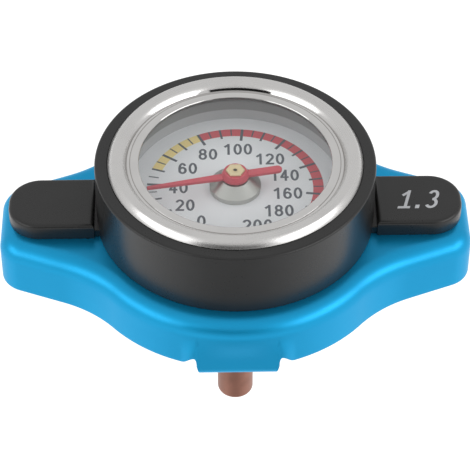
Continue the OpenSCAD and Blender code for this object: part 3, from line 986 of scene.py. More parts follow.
@dataclass(frozen=True)
class Bimetal(Finish):
    """Wound strip of two metals: one colour outside its mean radius and the other inside."""

    outside: Triple
    inside: Triple
    mean: float
    soft: float = 0.05
    marks: float = 5000.0
    rough: float = 0.32
    spread: float = 0.2
    relief: float = 0.01
    bump: float = 0.4

    def shader(self, graph: Graph) -> Term:
        """Makes the strip: the distance from the axis picks the metal, and fine lines run along it.

        Args:
            graph: The graph to fill.

        Returns:
            The shader.
        """
        marks = graph.lay(Lay.ROLLED, self.marks)
        metal = graph.off_axis().eased((self.mean - self.soft) * MM, (self.mean + self.soft) * MM)
        return graph.principled({
            "Base Color": graph.mix(metal, self.inside, self.outside),
            "Metallic": 1.0,
            "Roughness": self.rough + (marks - 0.5) * self.spread,
            "Normal": graph.bump(marks, self.bump, self.relief),
        })


class Finishes:
    """Every finish on the part and its stage, in the order of the fields of its class."""

    BLUE = Anodised("blue_anodised", (0.008, 0.345, 0.655), (0.006, 0.31, 0.6), 0.4)
    CHROME = Plating(
        "bright_chrome", (0.645, 0.635, 0.625), (0.575, 0.565, 0.555), 0.27, 0.07, (17.05, 17.35),
    )
    DOME = Metal(
        "bright_dome", (0.53, 0.52, 0.495), (0.45, 0.44, 0.42), 0.36, 0.1, Lay.AROUND, 7000.0, 0.012,
    )
    STAMPED = Metal(
        "stamped_steel", (0.58, 0.57, 0.55), (0.44, 0.43, 0.41), 0.27, 0.1, Lay.ROLLED, 3600.0, 0.003,
    )
    PLATED = Metal(
        "plated_steel", (0.62, 0.6, 0.52), (0.5, 0.46, 0.36), 0.33, 0.14, Lay.EVEN, 2600.0, 0.01, 0.6,
    )
    DARK = Metal(
        "dark_steel", (0.13, 0.115, 0.085), (0.09, 0.08, 0.06), 0.45, 0.16, Lay.AROUND, 3000.0, 0.008,
    )
    PLAIN = Metal("plain_steel", grey(0.45), grey(0.34), 0.36, 0.16, Lay.AROUND, 3000.0, 0.008)
    WIRE = Metal(
        "spring_wire", (0.38, 0.38, 0.39), (0.24, 0.23, 0.22), 0.3, 0.14, Lay.EVEN, 3200.0, 0.008, 0.5,
    )
    BRASS = Metal(
        "turned_brass", (0.72, 0.56, 0.28), (0.54, 0.38, 0.17), 0.26, 0.14, Lay.AROUND, 3600.0, 0.008,
    )
    PALE_BRASS = Metal(
        "pale_brass", (0.86, 0.72, 0.46), (0.74, 0.58, 0.34), 0.3, 0.12, Lay.AROUND, 4800.0, 0.005,
    )
    COPPER = Metal(
        "drawn_copper", (0.32, 0.155, 0.115), (0.24, 0.12, 0.09), 0.42, 0.16, Lay.ALONG, 3000.0, 0.012, 0.8,
    )
    BLACK = Coat("black_satin_coat", grey(0.015), grey(0.02), 0.3, 3800.0, 0.008, 0.42)
    RUBBER = Coat("black_rubber", grey(0.018), (0.04, 0.039, 0.038), 0.62, 2600.0, 0.02, 0.35)
    # painted shade: the lens seal is painted dark grey to carry on the liner's shaded band under the
    # bezel's lip
    GASKET = Coat("gasket_grey_painted_shade", grey(0.2), grey(0.23), 0.6, 3000.0, 0.015, 0.3)
    DIAL = Coat("dial_white", (0.86, 0.86, 0.885), (0.77, 0.77, 0.795), 0.45, 5200.0, 0.004, 0.4)
    INK = Coat("dial_ink", (0.105, 0.112, 0.135), (0.125, 0.132, 0.155), 0.5, 6000.0, 0.002, 0.3)
    AMBER = Coat("dial_yellow", (0.93, 0.74, 0.31), (0.87, 0.69, 0.28), 0.5, 6000.0, 0.002, 0.3)
    WARM_RED = Coat("dial_red", (0.68, 0.1, 0.125), (0.62, 0.09, 0.115), 0.5, 6000.0, 0.002, 0.3)
    POINTER = Coat("pointer_red", (0.6, 0.065, 0.095), (0.54, 0.055, 0.085), 0.38, 4200.0, 0.003, 0.5)
    NUMBER = Coat("arm_number", (0.52, 0.53, 0.55), (0.44, 0.45, 0.47), 0.5, 5200.0, 0.003, 0.4)
    CARD = Coat("black_card", grey(0.01), grey(0.014), 0.9, 60.0, 0.001, 0.1)
    # the liner's upper grey is painted shade under the bezel's lip; the lower grey is the wall's own colour
    LINER = Liner("liner_grey_painted_shade", grey(0.23), (0.43, 0.43, 0.44), 11.0)
    BIMETAL = Bimetal("bimetal_strip", (0.6, 0.46, 0.26), (0.46, 0.46, 0.47), 1.95)
    LENS = Glass("lens_glass")
    FLOOR = Backdrop("pale_floor")


# Pieces


def put_in_scene(name: str, data: bpy.types.ID) -> Obj:
    """Makes an object of a mesh, a lamp or a camera.

    Args:
        name: The object's name.
        data: What it shows.

    Returns:
        The object, in the scene.
    """
    obj = bpy.data.objects.new(name, data)
    bpy.context.scene.collection.objects.link(obj)
    return obj


def make_mesh(name: str, points: Array, faces: Sequence[Array], finish: Finish) -> bpy.types.Mesh:
    """Makes a mesh in one finish.

    Args:
        name: The mesh's name.
        points: Its points, in metres.
        faces: Arrays of its faces.
        finish: Its finish.

    Returns:
        The mesh.
    """
    mesh = bpy.data.meshes.new(name)
    mesh.from_pydata(points.tolist(), [], [face for part in faces for face in part.tolist()])
    mesh.materials.append(finish.material())
    return mesh


def make_piece(
    name: str,
    shell: Shell,
    finish: Finish,
    node: str = "",
    body: Body = Body.CAP,
    sharp: float = 38.0,
) -> Obj:
    """Puts a shell into the scene as a piece that rides on a body.

    Args:
        name: The piece's name.
        shell: Its surface.
        finish: Its finish.
        node: The CAD node that it stands for.
        body: The body that it moves with.
        sharp: Angle in degrees past which an edge is shaded as sharp.

    Returns:
        The new object.
    """
    mesh = make_mesh(name, shell.points * MM, shell.faces, finish)
    mesh.validate()
    mesh.shade_smooth()
    mesh.set_sharp_from_angle(angle=math.radians(sharp))
    obj = put_in_scene(name, mesh)
    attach(obj, body.value)
    if node:
        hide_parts(node)
    return obj


def make_stage(name: str, grid: Array, finish: Finish) -> Obj:
    """Puts an open grid of points, in metres, into the scene as stage.

    Args:
        name: The object's name.
        grid: Its points.
        finish: Its finish.

    Returns:
        The new object.
    """
    obj = put_in_scene(name, make_mesh(name, grid.reshape(-1, 3), [grid_faces(grid, False, False)], finish))
    return obj


def dress_node(node: str, finish: Finish) -> Obj:
    """Gives a CAD node that stays in view its finish.

    Args:
        node: The node's name.
        finish: Its finish.

    Returns:
        The node's object.
    """
    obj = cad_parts[node]
    if not obj.material_slots:
        obj.data.materials.append(finish.material())
    for place in obj.material_slots:
        place.material = finish.material()
    return obj


@dataclass
class CapShell:
    """The blue pressing with its wings, rolled edge, skirt and two folded lugs."""

    radius: float = 25.6
    top: float = 3.8
    wall: float = 1.2
    edge: float = 3.0
    edge_lead: float = 0.4
    reach: float = 37.4
    wing_half: float = 7.0
    taper: float = 22.0
    corner: float = 4.6
    blend: float = 21.0
    hole: float = 5.1
    skirt: float = -5.12
    hem: float = 0.3
    lug_half: float = 6.4
    lug_narrow: float = 0.5
    lug_low: float = -7.55
    lug_bend: float = 1.8
    lug_tongue: float = 6.4
    lug_face: float = 25.05
    lug_corner: float = 1.4
    lug_ease: float = 0.55
    lug_fade: float = 2.6
    relief_wide: float = 2.5
    relief_rise: float = 0.4
    relief_high: float = 1.5
    relief_crowd: float = 1.9
    face_by: float = 0.85
    top_rows: Triple = (0.0, 0.4, 0.8)
    roll_rows: int = 15
    wall_rows: int = 9
    hem_rows: int = 4
    fold_rows: int = 7
    tongue_rows: int = 13

    def outline(self) -> tuple[Array, Array]:
        """Draws the cap from above.

        A quarter runs from a wing's tip along its corner arc, its straight edge, the hollow blend and the
        round body to the crown. It is mirrored across Y and then turned by half a turn.

        Returns:
            The outline's points and its outward normals.
        """
        tilt = math.radians(self.taper)
        n, along = np.array([math.sin(tilt), math.cos(tilt)]), np.array([math.cos(tilt), -math.sin(tilt)])
        offset = self.reach * n[0] + self.wing_half * n[1]
        run = math.sqrt((self.radius + self.blend) ** 2 - (offset + self.blend) ** 2)
        blend_at = (offset + self.blend) * n + run * along
        turn = math.atan2(blend_at[1], blend_at[0])
        corner_x = self.reach - self.corner
        corner_at = np.array([corner_x, (offset - self.corner - corner_x * n[0]) / n[1]])

        tip = np.stack([np.full(4, self.reach), np.linspace(0, corner_at[1], 5)[:-1]], axis=-1)
        corner = rays(np.linspace(0, QUARTER - tilt, 17))
        s = np.linspace(0, 1, 10)[1:-1, None]
        edge = (corner_at + self.corner * n) * (1 - s) + (blend_at - self.blend * n) * s
        hollow = rays(np.linspace(1.5 * math.pi - tilt, math.pi + turn, 24))
        relief_end = self.lug_half + self.relief_wide
        body = rays(np.linspace(turn, math.acos(relief_end / self.radius), 26)[1:-1])
        nearing = (1 - np.linspace(0, 1, 28, endpoint=False)) ** self.relief_crowd
        x = np.concatenate([self.lug_half + self.relief_wide * nearing, np.linspace(self.lug_half, 0, 13)])
        front = np.stack([x, np.sqrt(self.radius**2 - x**2)], axis=-1) / self.radius

        plan = np.concatenate([
            tip, corner_at + self.corner * corner, edge, blend_at + self.blend * hollow,
            self.radius * body, self.radius * front,
        ])
        out = np.concatenate([
            np.tile([1.0, 0.0], (len(tip), 1)), corner, np.tile(n, (len(edge), 1)), -hollow, body, front,
        ])
        halves = [np.concatenate([q, q[-2::-1] * [-1.0, 1.0]])[:-1] for q in (plan, out)]
        return tuple(np.concatenate([h, -h]) for h in halves)

    def on_lug(self, across: Array) -> Array:
        """Tells which points of the outline lie on a lug."""
        return np.abs(across) <= self.lug_half + TINY

    def skirt_edge(self, across: Array) -> Array:
        """Gives the height of the skirt's lower edge.

        Beside a lug the edge rises as a quarter ellipse and falls back along a cosine.

        Args:
            across: Distance from the middle of a lug, along X.

        Returns:
            The heights.
        """
        beside = np.abs(across) - self.lug_half
        rise = np.sqrt(np.clip(1 - (1 - beside / self.relief_rise) ** 2, 0, 1))
        gone = (beside - self.relief_rise) / (self.relief_wide - self.relief_rise)
        lift = np.where(beside < self.relief_rise, rise, 0.5 + 0.5 * np.cos(math.pi * gone))
        lift = np.where((beside > 0) & (beside < self.relief_wide), lift, 0.0)
        return self.skirt + self.relief_high * lift

    def sheet(self, plan: Array, out: Array, inset: float) -> Array:
        """Makes one skin of the cap down to its hem.

        Rows run from the hole over the flat top, round the rolled edge, down the skirt and round its hem.
        A row is the outline moved inwards by an inset; near a lug the skirt's rows pass smoothly from the
        round wall to the lug's flat face.

        Args:
            plan: The outline.
            out: Its outward normals.
            inset: 0 for the outer skin, or the wall's thickness for the inner one.

        Returns:
            A grid of points, one row for each point of the outline.
        """
        count, across = len(plan), plan[:, 0]
        low = self.skirt_edge(across)
        roll, bend_z = self.edge - inset, self.top - self.edge
        a = np.linspace(QUARTER, 0, self.roll_rows)
        hem = np.linspace(0, QUARTER, self.hem_rows + 1)[1:]
        drop = np.linspace(0, 1, self.wall_rows + 1)[1:]
        inwards = np.where(self.on_lug(across), 0.0, 1.0 if inset == 0 else -1.0)[:, None]
        insets = np.concatenate([
            np.tile(self.edge + self.edge_lead, (count, 1)),
            np.tile(self.edge - roll * np.cos(a), (count, 1)),
            np.full((count, self.wall_rows), inset),
            inset + self.hem * (1 - np.cos(hem)) * inwards,
        ], axis=1)
        heights = np.concatenate([
            np.full((count, len(self.top_rows) + 1), self.top - inset),
            np.tile(bend_z + roll * np.sin(a), (count, 1)),
            bend_z + drop * (low + self.hem - bend_z)[:, None],
            low[:, None] + self.hem * (1 - np.sin(hem)),
        ], axis=1)
        wall = plan[:, None] - insets[..., None] * out[:, None]
        flat = np.concatenate([
            np.zeros(self.roll_rows + 1), smooth_step(0, self.face_by, drop), np.ones(self.hem_rows),
        ])
        beside = smooth_step(self.lug_half, self.lug_half + self.lug_fade, np.abs(across))
        share = flat * (1 - beside)[:, None]
        wall[..., 1] += share * (np.sign(plan[:, 1:]) * (self.lug_face - insets) - wall[..., 1])
        wall[..., 0] += share * (across[:, None] - wall[..., 0])
        s = np.array(self.top_rows)[None, :, None]
        disc = self.hole * unit(plan)[:, None] * (1 - s) + wall[:, :1] * s
        return np.concatenate([np.concatenate([disc, wall], axis=1), heights[..., None]], axis=-1)

    def tongue(self, plan: Array, inset: float) -> Array:
        """Makes one skin of the lugs: down from the hem, round the fold and along the tongue.

        The width narrows on the way down, eases in round the fold, and ends in round corners.

        Args:
            plan: The outline.
            inset: 0 for the outer skin, or the wall's thickness for the inner one.

        Returns:
            A grid of points, one row for each point of the outline.
        """
        turn = np.linspace(0, QUARTER, self.fold_rows + 1)[1:]
        fold_z = self.lug_low + self.lug_bend
        bend = self.lug_bend - inset
        deep = np.concatenate([
            [inset, inset],
            self.lug_bend - bend * np.cos(turn),
            np.linspace(self.lug_bend, self.lug_tongue, self.tongue_rows + 1)[1:],
        ])
        high = np.concatenate([
            [(self.skirt + fold_z) / 2, fold_z],
            fold_z - bend * np.sin(turn),
            np.full(self.tongue_rows, fold_z - bend),
        ])
        eased = np.concatenate([[0.0, 0.0], turn / QUARTER, np.ones(self.tongue_rows)])
        past = np.clip(deep - (self.lug_tongue - self.lug_corner), 0, self.lug_corner)
        down = np.clip((self.skirt - high) / (self.skirt - self.lug_low), 0, 1)
        half = self.lug_half - self.lug_narrow * down - self.lug_ease * (1 - np.sqrt(1 - eased**2))
        half = half - (self.lug_corner - np.sqrt(self.lug_corner**2 - past**2))
        across = np.clip(plan[:, :1] / self.lug_half, -1, 1) * half
        inwards = np.sign(plan[:, 1:]) * (self.lug_face - deep)
        return np.stack(np.broadcast_arrays(across, inwards, high), axis=-1)

    def build(self) -> list[Obj]:
        """Makes the pressing: two skins, with faces below the skirt kept only on the lugs.

        Returns:
            The pressing.
        """
        plan, out = self.outline()
        sheets = [self.sheet(plan, out, inset) for inset in (0.0, self.wall)]
        tongues = [self.tongue(plan, inset) for inset in (0.0, self.wall)]
        outer, inner = (np.concatenate(both, axis=1) for both in zip(sheets, tongues))
        lug = self.on_lug(plan[:, 0])
        keep = np.ones((outer.shape[0], outer.shape[1] - 1), bool)
        keep[:, sheets[0].shape[1] - 1 :] = (lug & np.roll(lug, -1))[:, None]
        shell = thick_sheet(outer, inner, keep)
        return [make_piece("cap_pressing", shell, Finishes.BLUE, "cap_shell", sharp=45.0)]


@dataclass
class GaugeHousing:
    """The black cast ring with its two arms, and the pressure number on the right arm."""

    low: float = 3.8
    ring_r: float = 22.0
    bore_r: float = 20.0
    ring_top: float = 14.95
    ring_edges: Sizes = (0.05, 0.15, 0.4, 0.12, 0.1, 0.05)
    floor: float = 5.3
    hole: float = 5.1
    arm_in: float = 22.3
    arm_reach: float = 35.9
    arm_half: float = 5.6
    arm_top: float = 6.5
    arm_corner: float = 5.0
    arm_edge: float = 0.6
    arm_foot: float = 0.1
    neck_in: float = 20.5
    neck_out: float = 23.3
    neck_half: float = 5.1
    neck_top: float = 5.2
    neck_edge: float = 0.15
    neck_foot: float = 0.05
    number: str = "1.3"
    number_high: float = 4.15
    number_deep: float = 0.015
    number_slant: float = 0.27
    number_at: Pair = (29.18, -0.27)
    figures: Figures = Figures(0.44, 0.12, 0.19, foot=True)

    def ring(self) -> Shell:
        """Turns the ring with its floor and softly broken edges."""
        corners = stepped(self.hole, self.low, self.ring_r, self.ring_top, self.bore_r, self.floor)
        return turned(corners, self.ring_edges, segments=192, steps=6)

    def arm(self) -> Shell:
        """Makes the right arm and its low neck as rounded plates.

        Returns:
            The arm, as two islands.
        """
        pad = stepped(self.arm_in, -self.arm_half, self.arm_reach, self.arm_half)
        pad = fillet(pad, self.arm_corner, steps=16, closed=False)
        neck = stepped(self.neck_in, -self.neck_half, self.neck_out, self.neck_half)
        return joined(
            plate(pad, self.low, self.arm_top, self.arm_edge, self.arm_foot, steps=7),
            plate(neck, self.low, self.neck_top, self.neck_edge, self.neck_foot),
        )

    def build(self) -> list[Obj]:
        """Makes the casting, and the number in pale ink on the right arm.

        Returns:
            The casting and the number.
        """
        arm = self.arm()
        casting = joined(self.ring(), arm, arm.turned(180))
        number = self.figures.write(self.number, self.number_high, self.number_deep, self.number_slant)
        return [
            make_piece("housing_casting", casting, Finishes.BLACK, "gauge_housing"),
            make_piece("arm_number", number.moved((*self.number_at, self.arm_top)), Finishes.NUMBER),
        ]


@dataclass
class Bezel:
    """The rolled bezel, the glass, its gasket and the liner under it."""

    outer: float = 19.8
    chamfer: float = 0.1
    shoulder: float = 0.13
    case_r: float = 19.2
    skirt: float = 11.0
    lens_low: float = 13.2
    lens_top: float = 14.7
    roll_top: float = 16.14
    crest_r: float = 18.75
    crest_round: float = 0.7
    flank_turn: float = 46.0
    foot_turn: float = 28.0
    foot_z: float = 14.98
    groove_r: float = 16.9
    groove_z: float = 14.9
    fall: float = 2.8
    bead_r: float = 16.55
    bead_h: float = 0.34
    lip_r: float = 15.1
    undercut: float = 0.3
    inner_r: float = 18.5
    liner_r: float = 17.0
    gasket_low: float = 12.6
    dial_top: float = 9.2
    draft: float = 0.38
    soft_edge: float = 0.15
    liner_edge: float = 0.06

    def rim(self) -> Shell:
        """Turns the bezel from its skirt to its lip.

        The flank is a wide arc between two slopes, and a small arc goes on from it over the crest. From
        there the roll falls to the groove by a power of the share of the way, and the lip's bead is half an
        ellipse over its foot.

        Returns:
            The bezel.
        """
        high, low = math.radians(self.flank_turn), math.radians(self.foot_turn)
        top = rays(np.linspace(high, QUARTER, 11))
        crest = [self.crest_r, self.roll_top] + self.crest_round * (top - [0.0, 1.0])
        wide = (crest[0, 1] - self.foot_z) / (math.sin(high) - math.sin(low))
        flank = crest[0] + wide * (rays(np.linspace(low, high, 13)[:-1]) - rays(np.array(high)))
        share = np.linspace(0, 1, 25)[1:]
        slope = np.stack([
            self.crest_r - (self.crest_r - self.groove_r) * share,
            self.roll_top - (self.roll_top - self.groove_z) * share**self.fall,
        ], axis=-1)
        middle, half = (self.bead_r + self.lip_r) / 2, (self.bead_r - self.lip_r) / 2
        bead = [middle, self.groove_z] + np.array([half, self.bead_h]) * rays(np.linspace(0, math.pi, 21))
        under = [
            (self.lip_r + self.undercut, self.lens_top), (self.case_r, self.lens_top),
            (self.case_r, self.skirt), (self.outer - self.chamfer, self.skirt),
            (self.outer, self.skirt + self.chamfer), (self.outer, self.foot_z - self.shoulder),
        ]
        return turned(np.concatenate([flank, crest, slope, bead, under]), None, segments=256)

    def build(self) -> list[Obj]:
        """Makes the bezel, the glass, the gasket and the liner.

        Returns:
            The four pieces and the dressed case.
        """
        lens = stepped(0, self.lens_low, self.inner_r, self.lens_top)
        lens = turned(lens, self.soft_edge, segments=128, steps=3, closed=False)
        gasket = stepped(self.liner_r, self.gasket_low, self.inner_r, self.lens_low)
        gasket = turned(gasket, self.soft_edge, segments=160)
        liner = stepped(self.liner_r, self.dial_top, self.inner_r, self.gasket_low)
        liner[0, 0] -= self.draft
        liner = turned(liner, self.liner_edge, segments=192)
        return [
            make_piece("bezel_rim", self.rim(), Finishes.CHROME, "bezel_ring"),
            make_piece("lens_disc", lens, Finishes.LENS, "lens_glass"),
            make_piece("lens_seal", gasket, Finishes.GASKET, "lens_gasket"),
            make_piece("liner_wall", liner, Finishes.LINER, "liner_ring"),
            dress_node("gauge_case", Finishes.PLAIN),
        ]


@dataclass
class Dial:
    """The white dial with its printed scale and the turned bush in its middle."""

    low: float = 8.7
    top: float = 9.2
    radius: float = 18.5
    hole: float = 2.4
    edge: float = 0.06
    zero: float = 236.9
    step: float = 1.526
    band_in: float = 12.3
    band_out: float = 13.95
    amber_from: int = 50
    red_from: int = 80
    full: int = 200
    long_in: float = 11.2
    middle_in: float = 11.8
    short_in: float = 12.35
    long_wide: float = 0.44
    middle_wide: float = 0.35
    short_wide: float = 0.22
    number_r: Sizes = (9.3, 8.83, 8.98, 8.82, 9.02, 9.1, 8.72, 8.3, 8.31, 8.6, 9.25)
    number_lead: Sizes = (-2.4, -0.2, 3.2, 2.9, 3.3, 2.3, -3.9, -3.7, -2.6, -1.0, -0.8)
    number_high: float = 2.6
    print_high: float = 0.015
    tick_high: float = 0.027
    bush_r: float = 4.05
    bush_h: float = 2.2
    bush_rim: float = 0.8
    bush_flat: float = 2.2
    bush_foot: float = 2.4
    bush_edges: Sizes = (0.05, 0.1, 0.05, 0.03, 0.1, 0.25, 0.05)
    foot_low: float = 7.3
    bore: float = 0.56

    def angle(self, value: Array) -> Array:
        """Gives the angle in radians of a value on the scale."""
        return np.radians(self.zero - self.step * np.asarray(value, float))

    def sector(self, first: int, last: int) -> Shell:
        """Prints part of the band: a thin block whose corners lie at (r cos a, r sin a).

        Args:
            first: Value at its start.
            last: Value at its end.

        Returns:
            The block.
        """
        a = self.angle(np.linspace(first, last, last - first + 1))[:, None]
        r, z = stepped(self.band_in, self.top, self.band_out, self.top + self.print_high).T
        grid = around(r[None], a, z[None])
        end = 4 * len(a) - 4
        caps = np.array([[3, 2, 1, 0], [end, end + 1, end + 2, end + 3]])
        return Shell(grid.reshape(-1, 3), [grid_faces(grid, False, True), caps]).outward()

    def ticks(self, values: Array, inner: float, wide: float) -> Shell:
        """Prints strokes of the scale, each a thin block along a radius.

        Args:
            values: Values that have a stroke.
            inner: Radius at which the strokes start.
            wide: Width of a stroke.

        Returns:
            The strokes.
        """
        a = self.angle(values)[:, None]
        r, t = np.tile(stepped(inner, -wide / 2, self.band_out, wide / 2), (2, 1)).T
        z = np.repeat([self.top, self.top + self.tick_high], 4)
        block = around(r, a, z) + around(t, a + QUARTER, np.zeros(8))
        walls = [[i, (i + 1) % 4, (i + 1) % 4 + 4, i + 4] for i in range(4)]
        sides = np.array([[0, 3, 2, 1], [4, 5, 6, 7], *walls])
        faces = (np.arange(len(a))[:, None, None] * 8 + sides[None]).reshape(-1, 4)
        return Shell(block.reshape(-1, 3), [faces]).outward()

    def numbers(self) -> Shell:
        """Prints the numbers upright round the scale, each at its radius and off its stroke by its lead.

        Returns:
            The numbers.
        """
        made = []
        for value, r, lead in zip(range(0, self.full + 1, 20), self.number_r, self.number_lead):
            a = float(self.angle(value)) + math.radians(lead)
            number = Figures().write(str(value), self.number_high, self.print_high)
            made.append(number.moved((r * math.cos(a), r * math.sin(a), self.top)))
        return joined(*made)

    def bush(self) -> Shell:
        """Turns the bush: a low rim, a cone with softened edges up to a small flat, and a plain foot.

        Returns:
            The bush.
        """
        rim, top = self.top + self.bush_rim, self.top + self.bush_h
        corners = [
            (self.bore, self.foot_low), (self.bush_foot, self.foot_low), (self.bush_foot, self.top),
            (self.bush_r, self.top), (self.bush_r, rim), (self.bush_flat, top), (self.bore, top),
        ]
        return turned(corners, self.bush_edges, segments=128, steps=6)

    def build(self) -> list[Obj]:
        """Makes the dial, its print and its bush.

        Returns:
            The dial's pieces and the dressed spacer.
        """
        disc = turned(stepped(self.hole, self.low, self.radius, self.top), self.edge, segments=160)
        every = np.arange(0, self.full + 1, 5)
        ink = joined(
            self.ticks(every[every % 10 == 5], self.short_in, self.short_wide),
            self.ticks(every[every % 20 == 10], self.middle_in, self.middle_wide),
            self.ticks(every[every % 20 == 0], self.long_in, self.long_wide),
            self.numbers(),
        )
        return [
            make_piece("dial_disc", disc, Finishes.DIAL, "dial_plate"),
            make_piece("dial_print", ink, Finishes.INK),
            make_piece("dial_yellow_band", self.sector(self.amber_from, self.red_from), Finishes.AMBER),
            make_piece("dial_red_band", self.sector(self.red_from, self.full), Finishes.WARM_RED),
            make_piece("dial_dome", self.bush(), Finishes.DOME, "dial_bush"),
            dress_node("dial_spacer", Finishes.PLAIN),
        ]


@dataclass
class Needle:
    """The red pointer with its hub, the brass boss and the spindle."""

    turn: float = 191.12
    length: float = 14.1
    tip_half: float = 0.25
    root_half: float = 0.7
    tail: float = 7.5
    top: float = 12.05
    thick: float = 0.5
    blade_edges: Pair = (0.1, 0.05)
    hub_r: float = 2.15
    hub_low: float = 11.6
    hub_top: float = 12.75
    hub_edges: Sizes = (0.05, 0.1, 0.15, 0.1, 0.05)
    collar_r: float = 1.8
    boss_r: float = 1.52
    boss_top: float = 13.05
    bore: float = 0.5
    boss_flats: float = 2.66
    boss_cut: float = 0.08
    boss_turn: float = math.pi / 6
    boss_foot: Pair = (0.05, 0.03)
    boss_brow: Pair = (0.04, 0.03)
    boss_rim: Pair = (0.06, 0.015)
    eye: float = 0.32
    eye_rim: Pair = (0.08, 0.05)
    eye_floor: Pair = (0.17, 0.15)

    def blade(self) -> Shell:
        """Makes the flat blade: a long taper to the tip and an even tail with a round end.

        Returns:
            The blade, turned to where it points.
        """
        root, tip = self.root_half, self.tip_half
        end = [root - self.tail, 0.0] + root * rays(np.linspace(QUARTER, 1.5 * math.pi, 17))
        front = [(0, -root), (self.length, -tip), (self.length, tip), (0, root)]
        outline = np.concatenate([end, front])
        flat = plate(outline, self.top - self.thick, self.top, *self.blade_edges, steps=3)
        return flat.turned(self.turn)

    def boss(self) -> Shell:
        """Makes the hexagon boss: rows of radius and height from the spindle's bore to the eye on top.

        Returns:
            The boss.
        """
        a = whole_turn(96)
        hexed = hexagon(a + self.boss_turn, self.boss_flats, self.boss_r)
        low, top, cut = self.hub_top, self.boss_top, self.boss_cut
        foot, brow, rim, eye_rim = self.boss_foot, self.boss_brow, self.boss_rim, self.eye_rim
        rows = [
            (self.bore, low), (hexed - foot[0], low), (hexed, low + foot[1]), (hexed, top - cut - brow[1]),
            (hexed - brow[0], top - cut), (hexed - cut, top - rim[1]), (hexed - cut - rim[0], top),
            (self.eye + eye_rim[0], top), (self.eye, top - eye_rim[1]),
            (self.eye, low + self.eye_floor[0]), (self.bore, low + self.eye_floor[1]),
        ]
        return wrapped(np.concatenate([around(r + 0.0 * a, a, z) for r, z in rows], axis=1))

    def build(self) -> list[Obj]:
        """Makes the pointer and the boss, and dresses the spindle.

        Returns:
            The pointer, the boss and the spindle.
        """
        hub = [
            (self.bore, self.hub_low), (self.hub_r, self.hub_low), (self.hub_r, self.top),
            (self.collar_r, self.hub_top), (self.bore, self.hub_top),
        ]
        red = joined(self.blade(), turned(hub, self.hub_edges, segments=96, steps=6))
        return [
            make_piece("pointer_blade", red, Finishes.POINTER, "pointer", Body.NEEDLE),
            make_piece("boss_cap", self.boss(), Finishes.PALE_BRASS, "pointer_boss", Body.NEEDLE),
            dress_node("spindle", Finishes.DARK),
        ]


@dataclass
class Stem:
    """The copper stem, its threaded socket, and the bimetal winding inside."""

    tube_r: float = 3.0
    tube_in: float = 2.5
    tube_low: float = -37.3
    tube_floor: float = -36.5
    tube_top: float = 5.1
    tube_edges: Sizes = (0.8, 0.1, 0.1, 0.2)
    shank_r: float = 5.0
    shank_low: float = -4.0
    pitch: float = 1.0
    thread: float = 0.3
    thread_rows: int = 12
    run_in: float = 0.4
    run_deep: float = 0.9
    flange_r: float = 8.0
    case_in: float = 5.8
    flange_t: float = 1.4
    boss_r: float = 3.45
    dial_low: float = 8.7
    bush_foot: float = 2.4
    foot_low: float = 7.3
    throat: Pair = (0.4, 0.3)
    socket_edge: float = 0.05
    coil_r: float = 1.95
    coil_low: float = -34.1
    coil_top: float = -15.1
    strip_w: float = 1.3
    strip_t: float = 0.4
    strip_edge: float = 0.08
    coil_turns: float = 9.0

    def tube(self) -> Shell:
        """Turns the closed copper tube."""
        corners = stepped(0, self.tube_low, self.tube_r, self.tube_top, self.tube_in, self.tube_floor)
        return turned(corners, self.tube_edges, segments=96, steps=8, closed=False)

    def shank(self) -> Shell:
        """Cuts the thread: the radius falls from the crest by a triangle wave of height and angle.

        Returns:
            The threaded shank.
        """
        z = np.arange(self.shank_low, self.case_in, self.pitch / self.thread_rows)
        a = whole_turn(96)
        phase = (z[None] / self.pitch - a / TURN) % 1.0
        fade = np.clip((z - self.shank_low) / self.run_in, 0, 1)
        r = self.shank_r - self.thread * (np.abs(2 * phase - 1) * fade + (1 - fade) * self.run_deep)
        keep = np.ones((len(a), len(z) - 1), bool)
        return thick_sheet(around(r, a, z[None]), around(self.tube_r, a, z[None]), keep)

    def socket(self) -> Shell:
        """Turns the socket's flange and its boss under the dial, with a sloping throat inside.

        Returns:
            The flange and the boss.
        """
        flange = (self.tube_r, self.case_in, self.flange_r, self.case_in + self.flange_t)
        corners = stepped(*flange, self.boss_r, self.dial_low, self.bush_foot, self.foot_low)
        corners[-1] -= self.throat
        return turned(corners, self.socket_edge, segments=96)

    def winding(self) -> Shell:
        """Winds the strip from one end of its room to the other.

        Returns:
            The winding.
        """
        half_w, half_t = self.strip_w / 2, self.strip_t / 2
        low, top = self.coil_low + half_w, self.coil_top - half_w
        path = helix(self.coil_r, low, top, self.coil_turns, self.strip_t, steps=40)
        return swept(path, fillet(stepped(-half_t, -half_w, half_t, half_w), self.strip_edge, 2, 0.03))

    def build(self) -> list[Obj]:
        """Makes the tube, the socket and the winding, and dresses the small parts inside.

        Returns:
            The three pieces and the dressed parts.
        """
        brass = joined(self.shank(), self.socket())
        return [
            make_piece("copper_stem", self.tube(), Finishes.COPPER, "stem_tube"),
            make_piece("socket_turning", brass, Finishes.BRASS, "stem_socket"),
            make_piece("bimetal_winding", self.winding(), Finishes.BIMETAL, "bimetal_coil"),
            dress_node("spindle_guide", Finishes.BRASS),
            dress_node("coil_anchor", Finishes.BRASS),
        ]


